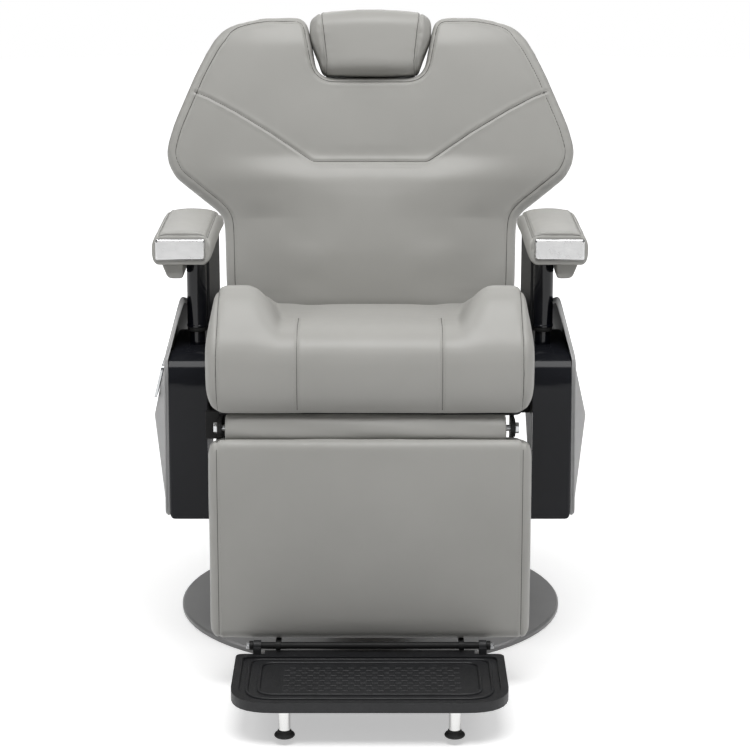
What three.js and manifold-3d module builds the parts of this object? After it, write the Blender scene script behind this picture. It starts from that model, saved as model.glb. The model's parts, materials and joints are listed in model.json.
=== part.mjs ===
// Hydraulic barber chair.
// Millimetres, +Z up. The chair faces -Y, and +X is to the right of someone who stands in front of it.
// The origin is the centre of the base plate's underside, on the floor.
// Left and right are named as that person sees them: left is -X, right is +X.

import * as THREE from 'three';
import { mergeVertices } from 'three/addons/utils/BufferGeometryUtils.js';
import Module from 'manifold-3d';

const wasm = await Module();
wasm.setup();

// ---------------------------------------------------------------- clearances
const TOUCH = 0.3; // between two pieces that rest on each other
const RUN = 0.5; // round a pin or a rod that turns or slides

// ---------------------------------------------------------------- base and pump
const BASE_RADIUS = 330;
const BASE_THICKNESS = 10;
const BASE_EDGE = 3;
const FLANGE_RADIUS = 125;
const FLANGE_THICKNESS = 14;
const BOLT_CIRCLE_RADIUS = 100;
const BOLT_RADIUS = 6;
const BOLT_HEAD_RADIUS = 10;
const BOLT_HEAD_HEIGHT = 8;
const BOLT_DEPTH = 6;
const PUMP_RADIUS = 60;
const PUMP_TOP_Z = 268;
const PUMP_FLOOR = 16;
const COVER_RADIUS = 74;
const COVER_WALL = 3;
const COVER_TOP_Z = 292;
const RAM_RADIUS = 27;
const RAM_CONE_RADIUS = 22;
const RAM_CONE_LENGTH = 70;

// ---------------------------------------------------------------- pump pedal
const PEDAL_PIVOT_Y = 80;
const PEDAL_PIVOT_Z = 54;
const PEDAL_PIN_RADIUS = 6;
const PEDAL_BOSS_RADIUS = 14;
const PEDAL_ARM_WIDTH = 16;
const PEDAL_ARM_DEPTH = 16;
const PEDAL_REACH = 340;
const PEDAL_RISE = 46;
const PEDAL_PAD_WIDTH = 88;
const PEDAL_PAD_LENGTH = 34;
const PEDAL_PAD_THICKNESS = 9;
const PEDAL_EAR_THICKNESS = 6;
const PEDAL_EAR_GAP = 2;

// ---------------------------------------------------------------- seat frame
const FRAME_TOP_Z = 436;
const FRAME_DEPTH = 32;
const RAIL_X = 85;
const RAIL_WIDTH = 30;
const FRAME_FRONT_Y = -372;
const CROSS_MID_Y = -220;
const CROSS_REAR_Y = 35;
const GUARD_DEPTH = 10;
const GUARD_BOTTOM_Z = 392;
const SOCKET_RADIUS = 44;
const SOCKET_LENGTH = 86;
const SOCKET_PLATE = 200;
const SOCKET_PLATE_THICKNESS = 12;
const SEAT_HALF_WIDTH = 252;
const SIDE_GAP = 8;
const SIDE_INNER_X = SEAT_HALF_WIDTH + SIDE_GAP;
const SIDE_PLATE_THICKNESS = 6.5;
const SIDE_PLATE_TOP_Z = 480;
const SIDE_PLATE_BOTTOM_Z = 244;
const SIDE_FRONT_Y = -288;
const BOARD_THICKNESS = 15;

// ---------------------------------------------------------------- recline pivot and its cranks
const BACK_PIVOT_Y = 110;
const BACK_PIVOT_Z = 440;
const BACK_TILT_DEG = 12;
const BACK_PIN_RADIUS = 8;
const BACK_BOSS_RADIUS = 18;
const BRACKET_INNER_X = SIDE_INNER_X - 12;
const BRACKET_THICKNESS = 7;
const CRANK_RADIUS = 85;
const CRANK_START_DEG = 25;
const CRANK_EYE_RADIUS = 11;
const CYLINDER_X = -80;
const CYLINDER_RADIUS = 16;
const CYLINDER_FRONT_Y = -230;
const CYLINDER_LENGTH = 190;
const ROD_RADIUS = 7;

// ---------------------------------------------------------------- leg rest pivot at the knee
const KNEE_Y = -405;
const KNEE_Z = 424;
const KNEE_PIN_RADIUS = 5;
const KNEE_EAR_RADIUS = 12;
const KNEE_EAR_X = SEAT_HALF_WIDTH - 50;
const KNEE_EAR_THICKNESS = 6;
const FLAP_RADIUS = 27;
const FLAP_THICKNESS = 6;
const FLAP_LEFT_X = 26 - SEAT_HALF_WIDTH;
const FLAP_RIGHT_X = SEAT_HALF_WIDTH - 39;
const LEG_ARM_RIGHT_X = SEAT_HALF_WIDTH - 33;
const LEG_ARM_LEFT_X = 15 - SEAT_HALF_WIDTH;
const LEG_ARM_THICKNESS = 7;
const LINK_RADIUS = 67;
const LINK_START_DEG = 32.5;
const LINK_THICKNESS = 6;
const LINK_DEPTH = 16;

// ---------------------------------------------------------------- leg rest, seen from the knee pivot
const LEG_HALF_WIDTH = SEAT_HALF_WIDTH - 2;
const LEG_FRONT = -45;
const LEG_BACK = 14;
const LEG_TOP = -10;
const LEG_BOTTOM = -335;
const LEG_BOARD_THICKNESS = 12;
const LEG_BOARD_MARGIN = 12;

// ---------------------------------------------------------------- footrest, seen from its hinge
const FOOT_HINGE_RADIUS = 5.5;
const FOOT_HINGE_DROP = 7;
const FOOT_HALF_WIDTH = 210;
const FOOT_REAR = -10;
const FOOT_FRONT = -220;
const FOOT_TOP = -10;
const FOOT_THICKNESS = 16;
const FOOT_RIM = 12;
const FOOT_RECESS = 4;
const FOOT_CORNER = 68;
const FOOT_TONGUE_THICKNESS = 6;
const FOOT_KNUCKLE_X = 171;
const FOOT_KNUCKLE_WIDTH = 12;
const FOOT_POST_X = 127.5;
const FOOT_POST_Y = -197;
const FOOT_POST_RADIUS = 9;
const GLIDE_RADIUS = 15.6;
const GLIDE_HEIGHT = 11;
const GLIDE_NECK_RADIUS = 10.4;
const GLIDE_FLOOR_GAP = 10;

// ---------------------------------------------------------------- seat cushion
const SEAT_BOTTOM_Z = 452;
const SEAT_REAR_Y = 70;
const SEAT_FRONT_Y = -443;
const SEAT_REAR_TOP_Z = 512;
const SEAT_CREST_Y = -345;
const SEAT_CREST_Z = 582;
const BOLSTER_FRONT_HEIGHT = 55;
const BOLSTER_REAR_HEIGHT = 28;
const BOLSTER_FOOT_X = 143;
const BOLSTER_TOP_X = 190;
const SEAT_EDGE_RADIUS = 22;

// ---------------------------------------------------------------- back, seen from its pivot along the back
const BACK_REAR = 45;
const BACK_BOARD_THICKNESS = 12;
const BACK_BAR_THICKNESS = 6;
const BACK_BAR_WIDTH = 40;
const BACK_TOP = 569;
const BACK_BOTTOM = 24;
const BACK_WING_WIDTH = 356.5;
const BACK_TOP_WIDTH = 262;
const NOTCH_HALF_WIDTH = 96;
const NOTCH_BOTTOM = 462;
const NOTCH_CORNER = 30;
const REAR_PANEL_THICKNESS = 25;
const BACK_BOARD_MARGIN = 14;
const REAR_PANEL_MARGIN = 6;
const HEADREST_BAR_WIDTH = 30;
const HEADREST_BAR_THICKNESS = 6;
const HEADREST_BAR_BOTTOM = 240;
const HEADREST_GUIDE_BOTTOM = 330;
const HEADREST_GUIDE_HEIGHT = 60;
const HEADREST_BOTTOM = 470;
const HEADREST_TOP = 581;
const HEADREST_HALF_WIDTH = 106;
const HEADREST_FOOT_HALF_WIDTH = 85;
const HEADREST_FRONT = -66;

// ---------------------------------------------------------------- arms and side covers
const HOUSING_OUTER_X = SIDE_INNER_X + 64;
const HOUSING_FRONT_Y = -300;
const HOUSING_REAR_Y = -110;
const HOUSING_TOP_Z = 517;
const HOUSING_BOTTOM_Z = 242;
const HOUSING_ROLL = 60;
const HOUSING_CORNER = 14;
const HOUSING_WALL = 4;
const HOUSING_TAPER = 2.7;
const POST_X = SIDE_INNER_X + 19.5;
const POST_Y = -220;
const POST_RADIUS = 12.5;
const POST_BOTTOM_Z = 400;
const SLEEVE_RADIUS = 16;
const SLEEVE_BOTTOM_Z = 546;
const ARM_BOTTOM_Z = 659;
const ARM_TOP_Z = 712;
const ARM_FRONT_Y = -288;
const ARM_REAR_Y = 40;
const ARM_PLATE_THICKNESS = 4;
const ARM_PLATE_WIDTH = 79;
const ARM_PLATE_HEIGHT = 34;
const ARM_PLATE_RISE = 8;
const ARM_PANEL_THICKNESS = 6;
const ARM_BLOCK_INNER_X = SIDE_INNER_X + 36.5;
const ARM_BLOCK_WIDTH = 34.5;
const ARM_BLOCK_HEIGHT = 25;
const SHELL_WALL = 3.5;
const RIDGE_X = SIDE_INNER_X + 94;
const SHELL_FRONT_X = SIDE_INNER_X + 69;
const SHELL_SHOULDER_X = SIDE_INNER_X + 66;
const SHELL_TOP_X = SIDE_INNER_X + 43;
const SHELL_TOP_Z = 598;
const SHELL_REAR_TOP_Z = 532;
const RIDGE_Z = 392;
const STANDOFF_RADIUS = 9;
const LEVER_PIVOT_Y = -40;
const LEVER_PIVOT_Z = 470;
const LEVER_SHAFT_RADIUS = 5;
const LEVER_THICKNESS = 4;
const LEVER_REACH = 205;

// ---------------------------------------------------------------- materials
function material(name, color, roughness, metalness) {
  return new THREE.MeshStandardMaterial({ name, color, roughness, metalness });
}
const LEATHER = material('leather', 0xa0a098, 0.5, 0);
const BLACK_PAINT = material('black_paint', 0x1a1c20, 0.35, 0.4);
const GLOSS_BLACK = material('gloss_black', 0x202226, 0.12, 0.1);
const HOUSING_PLASTIC = material('housing_plastic', 0x1c1d20, 0.15, 0);
const BASE_PAINT = material('base_paint', 0x5d5b5d, 0.45, 0.5);
const CHROME = material('chrome', 0xdfe1e3, 0.1, 1);
const STEEL = material('steel', 0x9a9ca0, 0.35, 1);
const GREY_PLASTIC = material('grey_plastic', 0xc9c9c7, 0.4, 0);
const TEXTURED_PLASTIC = material('textured_plastic', 0x2b2b2d, 0.75, 0);
const RUBBER = material('rubber', 0x161616, 0.85, 0);
const WOOD = material('wood', 0xb08d5f, 0.7, 0);
const BLACK_WOOD = material('black_wood', 0x151516, 0.6, 0);

// ---------------------------------------------------------------- shape helpers
function toSolid(geometry) {
  const bare = geometry.clone();
  bare.deleteAttribute('normal');
  bare.deleteAttribute('uv');
  const merged = mergeVertices(bare, 1e-4);
  const triangles = [];
  for (let i = 0; i < merged.index.count; i += 3) {
    const [a, b, c] = [merged.index.getX(i), merged.index.getX(i + 1), merged.index.getX(i + 2)];
    if (a !== b && b !== c && c !== a) triangles.push(a, b, c);
  }
  return new wasm.Manifold(new wasm.Mesh({
    numProp: 3,
    vertProperties: new Float32Array(merged.attributes.position.array),
    triVerts: new Uint32Array(triangles),
  }));
}

function toGeometry(solid) {
  const mesh = solid.getMesh();
  const geometry = new THREE.BufferGeometry();
  geometry.setAttribute('position', new THREE.BufferAttribute(new Float32Array(mesh.vertProperties), 3));
  geometry.setIndex(new THREE.BufferAttribute(new Uint32Array(mesh.triVerts), 1));
  return geometry;
}

function join(...geometries) {
  return toGeometry(geometries.map(toSolid).reduce((whole, next) => whole.add(next)));
}

function cut(body, ...tools) {
  return toGeometry(tools.map(toSolid).reduce((whole, tool) => whole.subtract(tool), toSolid(body)));
}

function common(first, second) {
  return toGeometry(toSolid(first).intersect(toSolid(second)));
}

function mirrorX(geometry) {
  const mirrored = toGeometry(toSolid(geometry)).scale(-1, 1, 1);
  const index = mirrored.index;
  for (let i = 0; i < index.count; i += 3) {
    const b = index.getX(i + 1);
    index.setX(i + 1, index.getX(i + 2));
    index.setX(i + 2, b);
  }
  return mirrored;
}

function box(x, y, z) {
  const geometry = new THREE.BoxGeometry(x[1] - x[0], y[1] - y[0], z[1] - z[0]);
  return geometry.translate((x[0] + x[1]) / 2, (y[0] + y[1]) / 2, (z[0] + z[1]) / 2);
}

function rodX(radius, x, y, z, sides = 24) {
  const geometry = new THREE.CylinderGeometry(radius, radius, x[1] - x[0], sides);
  return geometry.rotateZ(Math.PI / 2).translate((x[0] + x[1]) / 2, y, z);
}

function rodY(radius, x, y, z, sides = 24) {
  const geometry = new THREE.CylinderGeometry(radius, radius, y[1] - y[0], sides);
  return geometry.translate(x, (y[0] + y[1]) / 2, z);
}

function rodZ(radius, x, y, z, sides = 24) {
  const geometry = new THREE.CylinderGeometry(radius, radius, z[1] - z[0], sides);
  return geometry.rotateX(Math.PI / 2).translate(x, y, (z[0] + z[1]) / 2);
}

// A profile of [radius, height] pairs turned about the vertical axis.
function turned(profile, sides = 40) {
  const points = profile.map(([r, z]) => new THREE.Vector2(r, z));
  return new THREE.LatheGeometry(points, sides).rotateX(Math.PI / 2);
}

// A closed outline with every corner rounded: corners are [a, b, radius].
function outline(corners) {
  const shape = new THREE.Shape();
  corners.forEach(([a, b, radius = 0], i) => {
    const corner = new THREE.Vector2(a, b);
    const before = corners[(i + corners.length - 1) % corners.length];
    const after = corners[(i + 1) % corners.length];
    const from = new THREE.Vector2(before[0], before[1]).sub(corner).setLength(radius).add(corner);
    const to = new THREE.Vector2(after[0], after[1]).sub(corner).setLength(radius).add(corner);
    if (i === 0) shape.moveTo(from.x, from.y);
    else shape.lineTo(from.x, from.y);
    if (radius > 0) shape.quadraticCurveTo(corner.x, corner.y, to.x, to.y);
  });
  shape.closePath();
  return shape;
}

function extrude(shape, depth, basis, segments) {
  const options = { depth, bevelEnabled: false, curveSegments: segments };
  return new THREE.ExtrudeGeometry(shape, options).applyMatrix4(basis);
}

// An outline drawn in (y, z) and run along X.
function slabX(shape, x, segments = 6) {
  const basis = new THREE.Matrix4().makeBasis(
    new THREE.Vector3(0, 1, 0), new THREE.Vector3(0, 0, 1), new THREE.Vector3(1, 0, 0));
  return extrude(shape, x[1] - x[0], basis.setPosition(x[0], 0, 0), segments);
}

// An outline drawn in (x, z) and run along Y.
function slabY(shape, y, segments = 6) {
  const basis = new THREE.Matrix4().makeBasis(
    new THREE.Vector3(1, 0, 0), new THREE.Vector3(0, 0, 1), new THREE.Vector3(0, -1, 0));
  return extrude(shape, y[1] - y[0], basis.setPosition(0, y[1], 0), segments);
}

// An outline drawn in (x, y) and run up Z.
function slabZ(shape, z, segments = 6) {
  return extrude(shape, z[1] - z[0], new THREE.Matrix4().setPosition(0, 0, z[0]), segments);
}

function surface(points, index) {
  let volume = 0;
  for (let i = 0; i < index.length; i += 3) {
    const [a, b, c] = [points[index[i]], points[index[i + 1]], points[index[i + 2]]];
    volume += a.dot(new THREE.Vector3().crossVectors(b, c));
  }
  const facing = volume > 0 ? index : index.slice().reverse();
  return new THREE.BufferGeometry().setFromPoints(points).setIndex(facing);
}

// A closed body through rings of equally many points, with a flat fan on each end.
function loft(rings) {
  const count = rings[0].length;
  const points = rings.flat();
  const index = [];
  for (let i = 0; i + 1 < rings.length; i += 1) {
    for (let k = 0; k < count; k += 1) {
      const a = i * count + k;
      const b = i * count + (k + 1) % count;
      index.push(a, b, b + count, a, b + count, a + count);
    }
  }
  [0, rings.length - 1].forEach((end) => {
    const centre = points.length;
    points.push(rings[end].reduce((sum, p) => sum.add(p), new THREE.Vector3()).divideScalar(count));
    for (let k = 0; k < count; k += 1) {
      const a = end * count + k;
      const b = end * count + (k + 1) % count;
      if (end === 0) index.push(centre, b, a);
      else index.push(centre, a, b);
    }
  });
  return surface(points, index);
}

function smooth(low, high, value) {
  const t = Math.min(1, Math.max(0, (value - low) / (high - low)));
  return t * t * (3 - 2 * t);
}

// How far a round of the given radius is drawn in at a distance from the edge.
function drawnIn(radius, distance) {
  const t = Math.min(1, Math.max(0, 1 - distance / radius));
  return radius * (1 - Math.sqrt(1 - t * t));
}

// The value at a place on a line of [place, value] pairs, in rising order of place.
function along(table, place) {
  const last = table.length - 1;
  if (place <= table[0][0]) return table[0][1];
  if (place >= table[last][0]) return table[last][1];
  const i = table.findIndex((entry) => entry[0] > place);
  const t = (place - table[i - 1][0]) / (table[i][0] - table[i - 1][0]);
  return table[i - 1][1] + t * (table[i][1] - table[i - 1][1]);
}

function steps(low, high, count) {
  return Array.from({ length: count + 1 }, (unused, i) => low + (high - low) * i / count);
}

function add(group, name, geometry, finish) {
  const mesh = new THREE.Mesh(geometry, finish);
  mesh.name = name;
  group.add(mesh);
}

// The same piece on both sides of the chair, drawn on the right.
function addPair(group, name, geometry, finish) {
  add(group, `${name}_right`, geometry, finish);
  add(group, `${name}_left`, mirrorX(geometry), finish);
}

function turn(y, z, degrees) {
  const angle = THREE.MathUtils.degToRad(degrees);
  return [y * Math.cos(angle) - z * Math.sin(angle), y * Math.sin(angle) + z * Math.cos(angle)];
}

// ---------------------------------------------------------------- places that several pieces share
const PUMP_BOTTOM_Z = BASE_THICKNESS + TOUCH;
const FLANGE_TOP_Z = PUMP_BOTTOM_Z + FLANGE_THICKNESS;
const FRAME_BOTTOM_Z = FRAME_TOP_Z - FRAME_DEPTH;
const SOCKET_PLATE_BOTTOM_Z = FRAME_BOTTOM_Z - TOUCH - SOCKET_PLATE_THICKNESS;
const RAM_TOP_Z = SOCKET_PLATE_BOTTOM_Z - 4;
const SIDE_OUTER_X = SIDE_INNER_X + SIDE_PLATE_THICKNESS;
const BRACKET = [BRACKET_INNER_X, BRACKET_INNER_X + BRACKET_THICKNESS];
const LINK_X = [-BRACKET_INNER_X + RUN, -BRACKET_INNER_X + RUN + LINK_THICKNESS];
const CRANK_AT = turn(0, -CRANK_RADIUS, CRANK_START_DEG);
const CRANK_IN_BACK = turn(CRANK_AT[0], CRANK_AT[1], BACK_TILT_DEG);
const LINK_AT = turn(0, -LINK_RADIUS, LINK_START_DEG);
const CYLINDER_Z = BACK_PIVOT_Z + CRANK_AT[1];
const ROD_END_Y = BACK_PIVOT_Y + CRANK_AT[0];
const LEG_FRAME = [LEG_BACK + LEG_BOARD_THICKNESS + TOUCH, LEG_BACK + LEG_BOARD_THICKNESS + TOUCH + 14];
const LEG_ARMS = [
  [LEG_ARM_LEFT_X, LEG_ARM_LEFT_X + LEG_ARM_THICKNESS],
  [LEG_ARM_RIGHT_X, LEG_ARM_RIGHT_X + LEG_ARM_THICKNESS],
];
const FOOT_HINGE = [LEG_FRONT, LEG_BOTTOM - FOOT_HINGE_DROP];
const FOOT_HINGE_WORLD_Z = KNEE_Z + FOOT_HINGE[1];
const BOARD_BACK = [BACK_REAR + TOUCH, BACK_REAR + TOUCH + BACK_BOARD_THICKNESS];
const BAR_BACK = [BOARD_BACK[1] + TOUCH, BOARD_BACK[1] + TOUCH + BACK_BAR_THICKNESS];
const ARM_UNDER_Z = ARM_BOTTOM_Z - TOUCH;
const FACET_SLOPE = (RIDGE_X - SHELL_TOP_X) / (SHELL_TOP_Z - RIDGE_Z);

function facetX(z) {
  return RIDGE_X - (z - RIDGE_Z) * FACET_SLOPE;
}

// ---------------------------------------------------------------- base and pump
const boltPlaces = [45, 135, 225, 315].map((degrees) => turn(BOLT_CIRCLE_RADIUS, 0, degrees));

function boltHoles(z) {
  return boltPlaces.map(([x, y]) => rodZ(BOLT_RADIUS + TOUCH, x, y, z, 16));
}

function basePlate() {
  const plate = turned([
    [0, 0],
    [BASE_RADIUS - 1, 0],
    [BASE_RADIUS, 1],
    [BASE_RADIUS, BASE_THICKNESS - BASE_EDGE],
    [BASE_RADIUS - BASE_EDGE, BASE_THICKNESS],
    [0, BASE_THICKNESS],
  ], 72);
  return cut(plate, ...boltHoles([BASE_THICKNESS - BOLT_DEPTH - TOUCH, BASE_THICKNESS + 1]));
}

function pumpBody() {
  const boreRadius = RAM_RADIUS + RUN;
  const boreFloor = PUMP_BOTTOM_Z + PUMP_FLOOR;
  const body = turned([
    [0, PUMP_BOTTOM_Z],
    [FLANGE_RADIUS, PUMP_BOTTOM_Z],
    [FLANGE_RADIUS, FLANGE_TOP_Z],
    [PUMP_RADIUS, FLANGE_TOP_Z],
    [PUMP_RADIUS, PUMP_TOP_Z],
    [boreRadius, PUMP_TOP_Z],
    [boreRadius, boreFloor],
    [0, boreFloor],
  ]);
  const inner = PEDAL_ARM_WIDTH / 2 + PEDAL_EAR_GAP;
  const outer = inner + PEDAL_EAR_THICKNESS;
  const earY = [PUMP_RADIUS - 6, PEDAL_PIVOT_Y + PEDAL_BOSS_RADIUS - 2];
  const earZ = [FLANGE_TOP_Z - 1, PEDAL_PIVOT_Z + PEDAL_BOSS_RADIUS - 2];
  const withEars = join(body, box([inner, outer], earY, earZ), box([-outer, -inner], earY, earZ));
  const pinHole = rodX(PEDAL_PIN_RADIUS + TOUCH, [inner - 1, outer + 1], PEDAL_PIVOT_Y, PEDAL_PIVOT_Z);
  return cut(withEars, pinHole, mirrorX(pinHole), ...boltHoles([0, FLANGE_TOP_Z + 1]));
}

function pumpCover() {
  const inner = COVER_RADIUS - COVER_WALL;
  const mouth = RAM_RADIUS + 2 * RUN;
  const shell = turned([
    [inner, FLANGE_TOP_Z + TOUCH],
    [COVER_RADIUS, FLANGE_TOP_Z + TOUCH],
    [COVER_RADIUS, COVER_TOP_Z - 8],
    [COVER_RADIUS - 8, COVER_TOP_Z],
    [mouth, COVER_TOP_Z],
    [mouth, COVER_TOP_Z - COVER_WALL],
    [inner - 5, COVER_TOP_Z - COVER_WALL],
    [inner, COVER_TOP_Z - 8],
    [inner, FLANGE_TOP_Z + TOUCH],
  ]);
  const slotTop = PEDAL_PIVOT_Z + PEDAL_BOSS_RADIUS + 20;
  return cut(shell, box([-24, 24], [PUMP_RADIUS - 10, COVER_RADIUS + 10], [0, slotTop]));
}

function flangeBolt(x, y) {
  const head = [FLANGE_TOP_Z + TOUCH, FLANGE_TOP_Z + TOUCH + BOLT_HEAD_HEIGHT];
  const shank = rodZ(BOLT_RADIUS, x, y, [BASE_THICKNESS - BOLT_DEPTH, head[0] + 1], 16);
  return join(shank, rodZ(BOLT_HEAD_RADIUS, x, y, head, 6));
}

function pedalPin() {
  const reach = PEDAL_ARM_WIDTH / 2 + PEDAL_EAR_GAP + PEDAL_EAR_THICKNESS + 3;
  return rodX(PEDAL_PIN_RADIUS, [-reach, reach], PEDAL_PIVOT_Y, PEDAL_PIVOT_Z);
}

// Drawn from its pivot.
function pedalArm() {
  const x = [-PEDAL_ARM_WIDTH / 2, PEDAL_ARM_WIDTH / 2];
  const half = PEDAL_ARM_DEPTH / 2;
  const end = PEDAL_REACH - PEDAL_PIVOT_Y;
  const shape = outline([
    [0, -half],
    [0.27 * end, -half, 20],
    [0.73 * end, PEDAL_RISE - PEDAL_ARM_DEPTH, 30],
    [end, PEDAL_RISE - half],
    [end, PEDAL_RISE],
    [0.73 * end, PEDAL_RISE, 30],
    [0.27 * end, half, 20],
    [0, half],
  ]);
  const arm = join(rodX(PEDAL_BOSS_RADIUS, x, 0, 0), slabX(shape, x));
  return cut(arm, rodX(PEDAL_PIN_RADIUS + RUN, [x[0] - 1, x[1] + 1], 0, 0));
}

function pedalPad() {
  const half = PEDAL_PAD_WIDTH / 2;
  const end = PEDAL_REACH - PEDAL_PIVOT_Y + 2;
  const shape = outline([
    [-half, end - PEDAL_PAD_LENGTH, 6],
    [half, end - PEDAL_PAD_LENGTH, 6],
    [half, end, 6],
    [-half, end, 6],
  ]);
  return slabZ(shape, [PEDAL_RISE + TOUCH, PEDAL_RISE + TOUCH + PEDAL_PAD_THICKNESS]);
}

// ---------------------------------------------------------------- lift
function ramProfile(gap, bottom) {
  return turned([
    [0, bottom],
    [RAM_RADIUS + gap, bottom],
    [RAM_RADIUS + gap, RAM_TOP_Z - RAM_CONE_LENGTH],
    [RAM_CONE_RADIUS + gap, RAM_TOP_Z + gap],
    [0, RAM_TOP_Z + gap],
  ]);
}

function swivelSocket() {
  const bottom = SOCKET_PLATE_BOTTOM_Z - SOCKET_LENGTH;
  const boss = turned([
    [0, bottom],
    [SOCKET_RADIUS - 3, bottom],
    [SOCKET_RADIUS, bottom + 3],
    [SOCKET_RADIUS, SOCKET_PLATE_BOTTOM_Z + 1],
    [0, SOCKET_PLATE_BOTTOM_Z + 1],
  ]);
  const half = SOCKET_PLATE / 2;
  const plate = box([-half, half], [-half, half], [SOCKET_PLATE_BOTTOM_Z, FRAME_BOTTOM_Z - TOUCH]);
  return cut(join(boss, plate), ramProfile(TOUCH, bottom - 1));
}

// ---------------------------------------------------------------- seat frame
function seatFrame() {
  const z = [FRAME_BOTTOM_Z, FRAME_TOP_Z];
  const half = RAIL_WIDTH / 2;
  const wide = [-SIDE_INNER_X + TOUCH, SIDE_INNER_X - TOUCH];
  const rail = box([RAIL_X - half, RAIL_X + half], [FRAME_FRONT_Y, CROSS_REAR_Y + half], z);
  const ear = [KNEE_EAR_X, KNEE_EAR_X + KNEE_EAR_THICKNESS];
  const earDepth = KNEE_EAR_RADIUS - 2;
  const earEye = rodX(KNEE_EAR_RADIUS, ear, KNEE_Y, KNEE_Z);
  const earArm = box(ear, [KNEE_Y, FRAME_FRONT_Y + 5], [KNEE_Z - earDepth, KNEE_Z + earDepth]);
  const barRear = FRAME_FRONT_Y + RAIL_WIDTH;
  const guard = box([wide[0], -ear[0]], [barRear - GUARD_DEPTH, barRear], [GUARD_BOTTOM_Z, FRAME_TOP_Z]);
  const lug = box(
    [CYLINDER_X - CYLINDER_RADIUS, CYLINDER_X + CYLINDER_RADIUS],
    [CYLINDER_FRONT_Y - 10, CYLINDER_FRONT_Y],
    [CYLINDER_Z - CYLINDER_RADIUS, FRAME_BOTTOM_Z + 6]);
  const frame = join(
    rail,
    mirrorX(rail),
    box([-ear[1], ear[1]], [FRAME_FRONT_Y, barRear], z),
    guard,
    box(wide, [CROSS_MID_Y - half, CROSS_MID_Y + half], z),
    box(wide, [CROSS_REAR_Y - half, CROSS_REAR_Y + half], z),
    earEye,
    earArm,
    mirrorX(earEye),
    mirrorX(earArm),
    lug);
  const hole = rodX(KNEE_PIN_RADIUS + TOUCH, [ear[0] - 1, ear[1] + 1], KNEE_Y, KNEE_Z);
  return cut(frame, hole, mirrorX(hole));
}

function sidePlate() {
  const ear = BACK_PIVOT_Y + BACK_BOSS_RADIUS + 10;
  const armBottom = FRAME_BOTTOM_Z - 4;
  const shape = outline([
    [SIDE_FRONT_Y, SIDE_PLATE_BOTTOM_Z, 4],
    [SIDE_FRONT_Y + 73, SIDE_PLATE_BOTTOM_Z, 12],
    [SIDE_FRONT_Y + 98, SIDE_PLATE_BOTTOM_Z + 86, 20],
    [SIDE_FRONT_Y + 208, armBottom, 20],
    [ear, armBottom, 26],
    [ear, SIDE_PLATE_TOP_Z, 26],
    [SIDE_FRONT_Y, SIDE_PLATE_TOP_Z, 12],
  ]);
  const x = [SIDE_INNER_X, SIDE_OUTER_X];
  const hole = rodX(BACK_PIN_RADIUS + TOUCH, [x[0] - 1, x[1] + 1], BACK_PIVOT_Y, BACK_PIVOT_Z);
  return cut(slabX(shape, x), hole);
}

function leverHole(radius) {
  return rodX(radius, [-RIDGE_X, -SIDE_INNER_X + 1], LEVER_PIVOT_Y, LEVER_PIVOT_Z, 20);
}

function seatBoard() {
  const half = SEAT_HALF_WIDTH - 14;
  const front = KNEE_Y + FLAP_RADIUS + 2;
  const shape = outline([
    [-half, front, 20],
    [half, front, 20],
    [half, SEAT_REAR_Y - 20, 20],
    [-half, SEAT_REAR_Y - 20, 20],
  ]);
  return slabZ(shape, [FRAME_TOP_Z + TOUCH, FRAME_TOP_Z + TOUCH + BOARD_THICKNESS]);
}

function backPin() {
  const pin = rodX(BACK_PIN_RADIUS, [BRACKET[0] - 1, SIDE_OUTER_X + 2], BACK_PIVOT_Y, BACK_PIVOT_Z);
  const head = [SIDE_OUTER_X + TOUCH, SIDE_OUTER_X + TOUCH + 6];
  return join(pin, rodX(BACK_PIN_RADIUS + 5, head, BACK_PIVOT_Y, BACK_PIVOT_Z, 6));
}

// A bolt through the ear and the leg rest's arm, from its inner nut to its outer head.
function kneeBolt(ear, arm) {
  const side = Math.sign(arm[0]);
  const inner = side > 0 ? ear[0] : ear[1];
  const outer = side > 0 ? arm[1] : arm[0];
  const span = (from, to) => [Math.min(from, to), Math.max(from, to)];
  const nut = span(inner - side * TOUCH, inner - side * 6);
  const head = span(outer + side * RUN, outer + side * 6);
  const shank = span(nut[side > 0 ? 0 : 1], head[side > 0 ? 1 : 0]);
  return join(
    rodX(KNEE_PIN_RADIUS, shank, KNEE_Y, KNEE_Z),
    rodX(KNEE_PIN_RADIUS + 4, nut, KNEE_Y, KNEE_Z, 6),
    rodX(KNEE_PIN_RADIUS + 4, head, KNEE_Y, KNEE_Z, 6));
}

function reclineCylinder() {
  const start = CYLINDER_FRONT_Y + TOUCH;
  const end = start + CYLINDER_LENGTH;
  const body = rodY(CYLINDER_RADIUS, CYLINDER_X, [start, end], CYLINDER_Z, 28);
  return cut(body, rodY(ROD_RADIUS + RUN, CYLINDER_X, [start + 6, end + 1], CYLINDER_Z, 20));
}

function reclineRod() {
  const half = BRACKET_THICKNESS / 2 + 6;
  const forkBase = ROD_END_Y - CRANK_EYE_RADIUS - 14;
  const z = [CYLINDER_Z - ROD_RADIUS - 2, CYLINDER_Z + ROD_RADIUS + 2];
  const fork = box([CYLINDER_X - half, CYLINDER_X + half], [forkBase, ROD_END_Y + CRANK_EYE_RADIUS], z);
  const slot = BRACKET_THICKNESS / 2 + 2;
  const slotY = [forkBase + 11, ROD_END_Y + CRANK_EYE_RADIUS + 1];
  const forked = cut(fork, box([CYLINDER_X - slot, CYLINDER_X + slot], slotY, [z[0] - 1, z[1] + 1]));
  const rodStart = CYLINDER_FRONT_Y + CYLINDER_RADIUS + CRANK_RADIUS;
  return join(rodY(ROD_RADIUS, CYLINDER_X, [rodStart, forkBase + 1], CYLINDER_Z, 20), forked);
}

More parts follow.
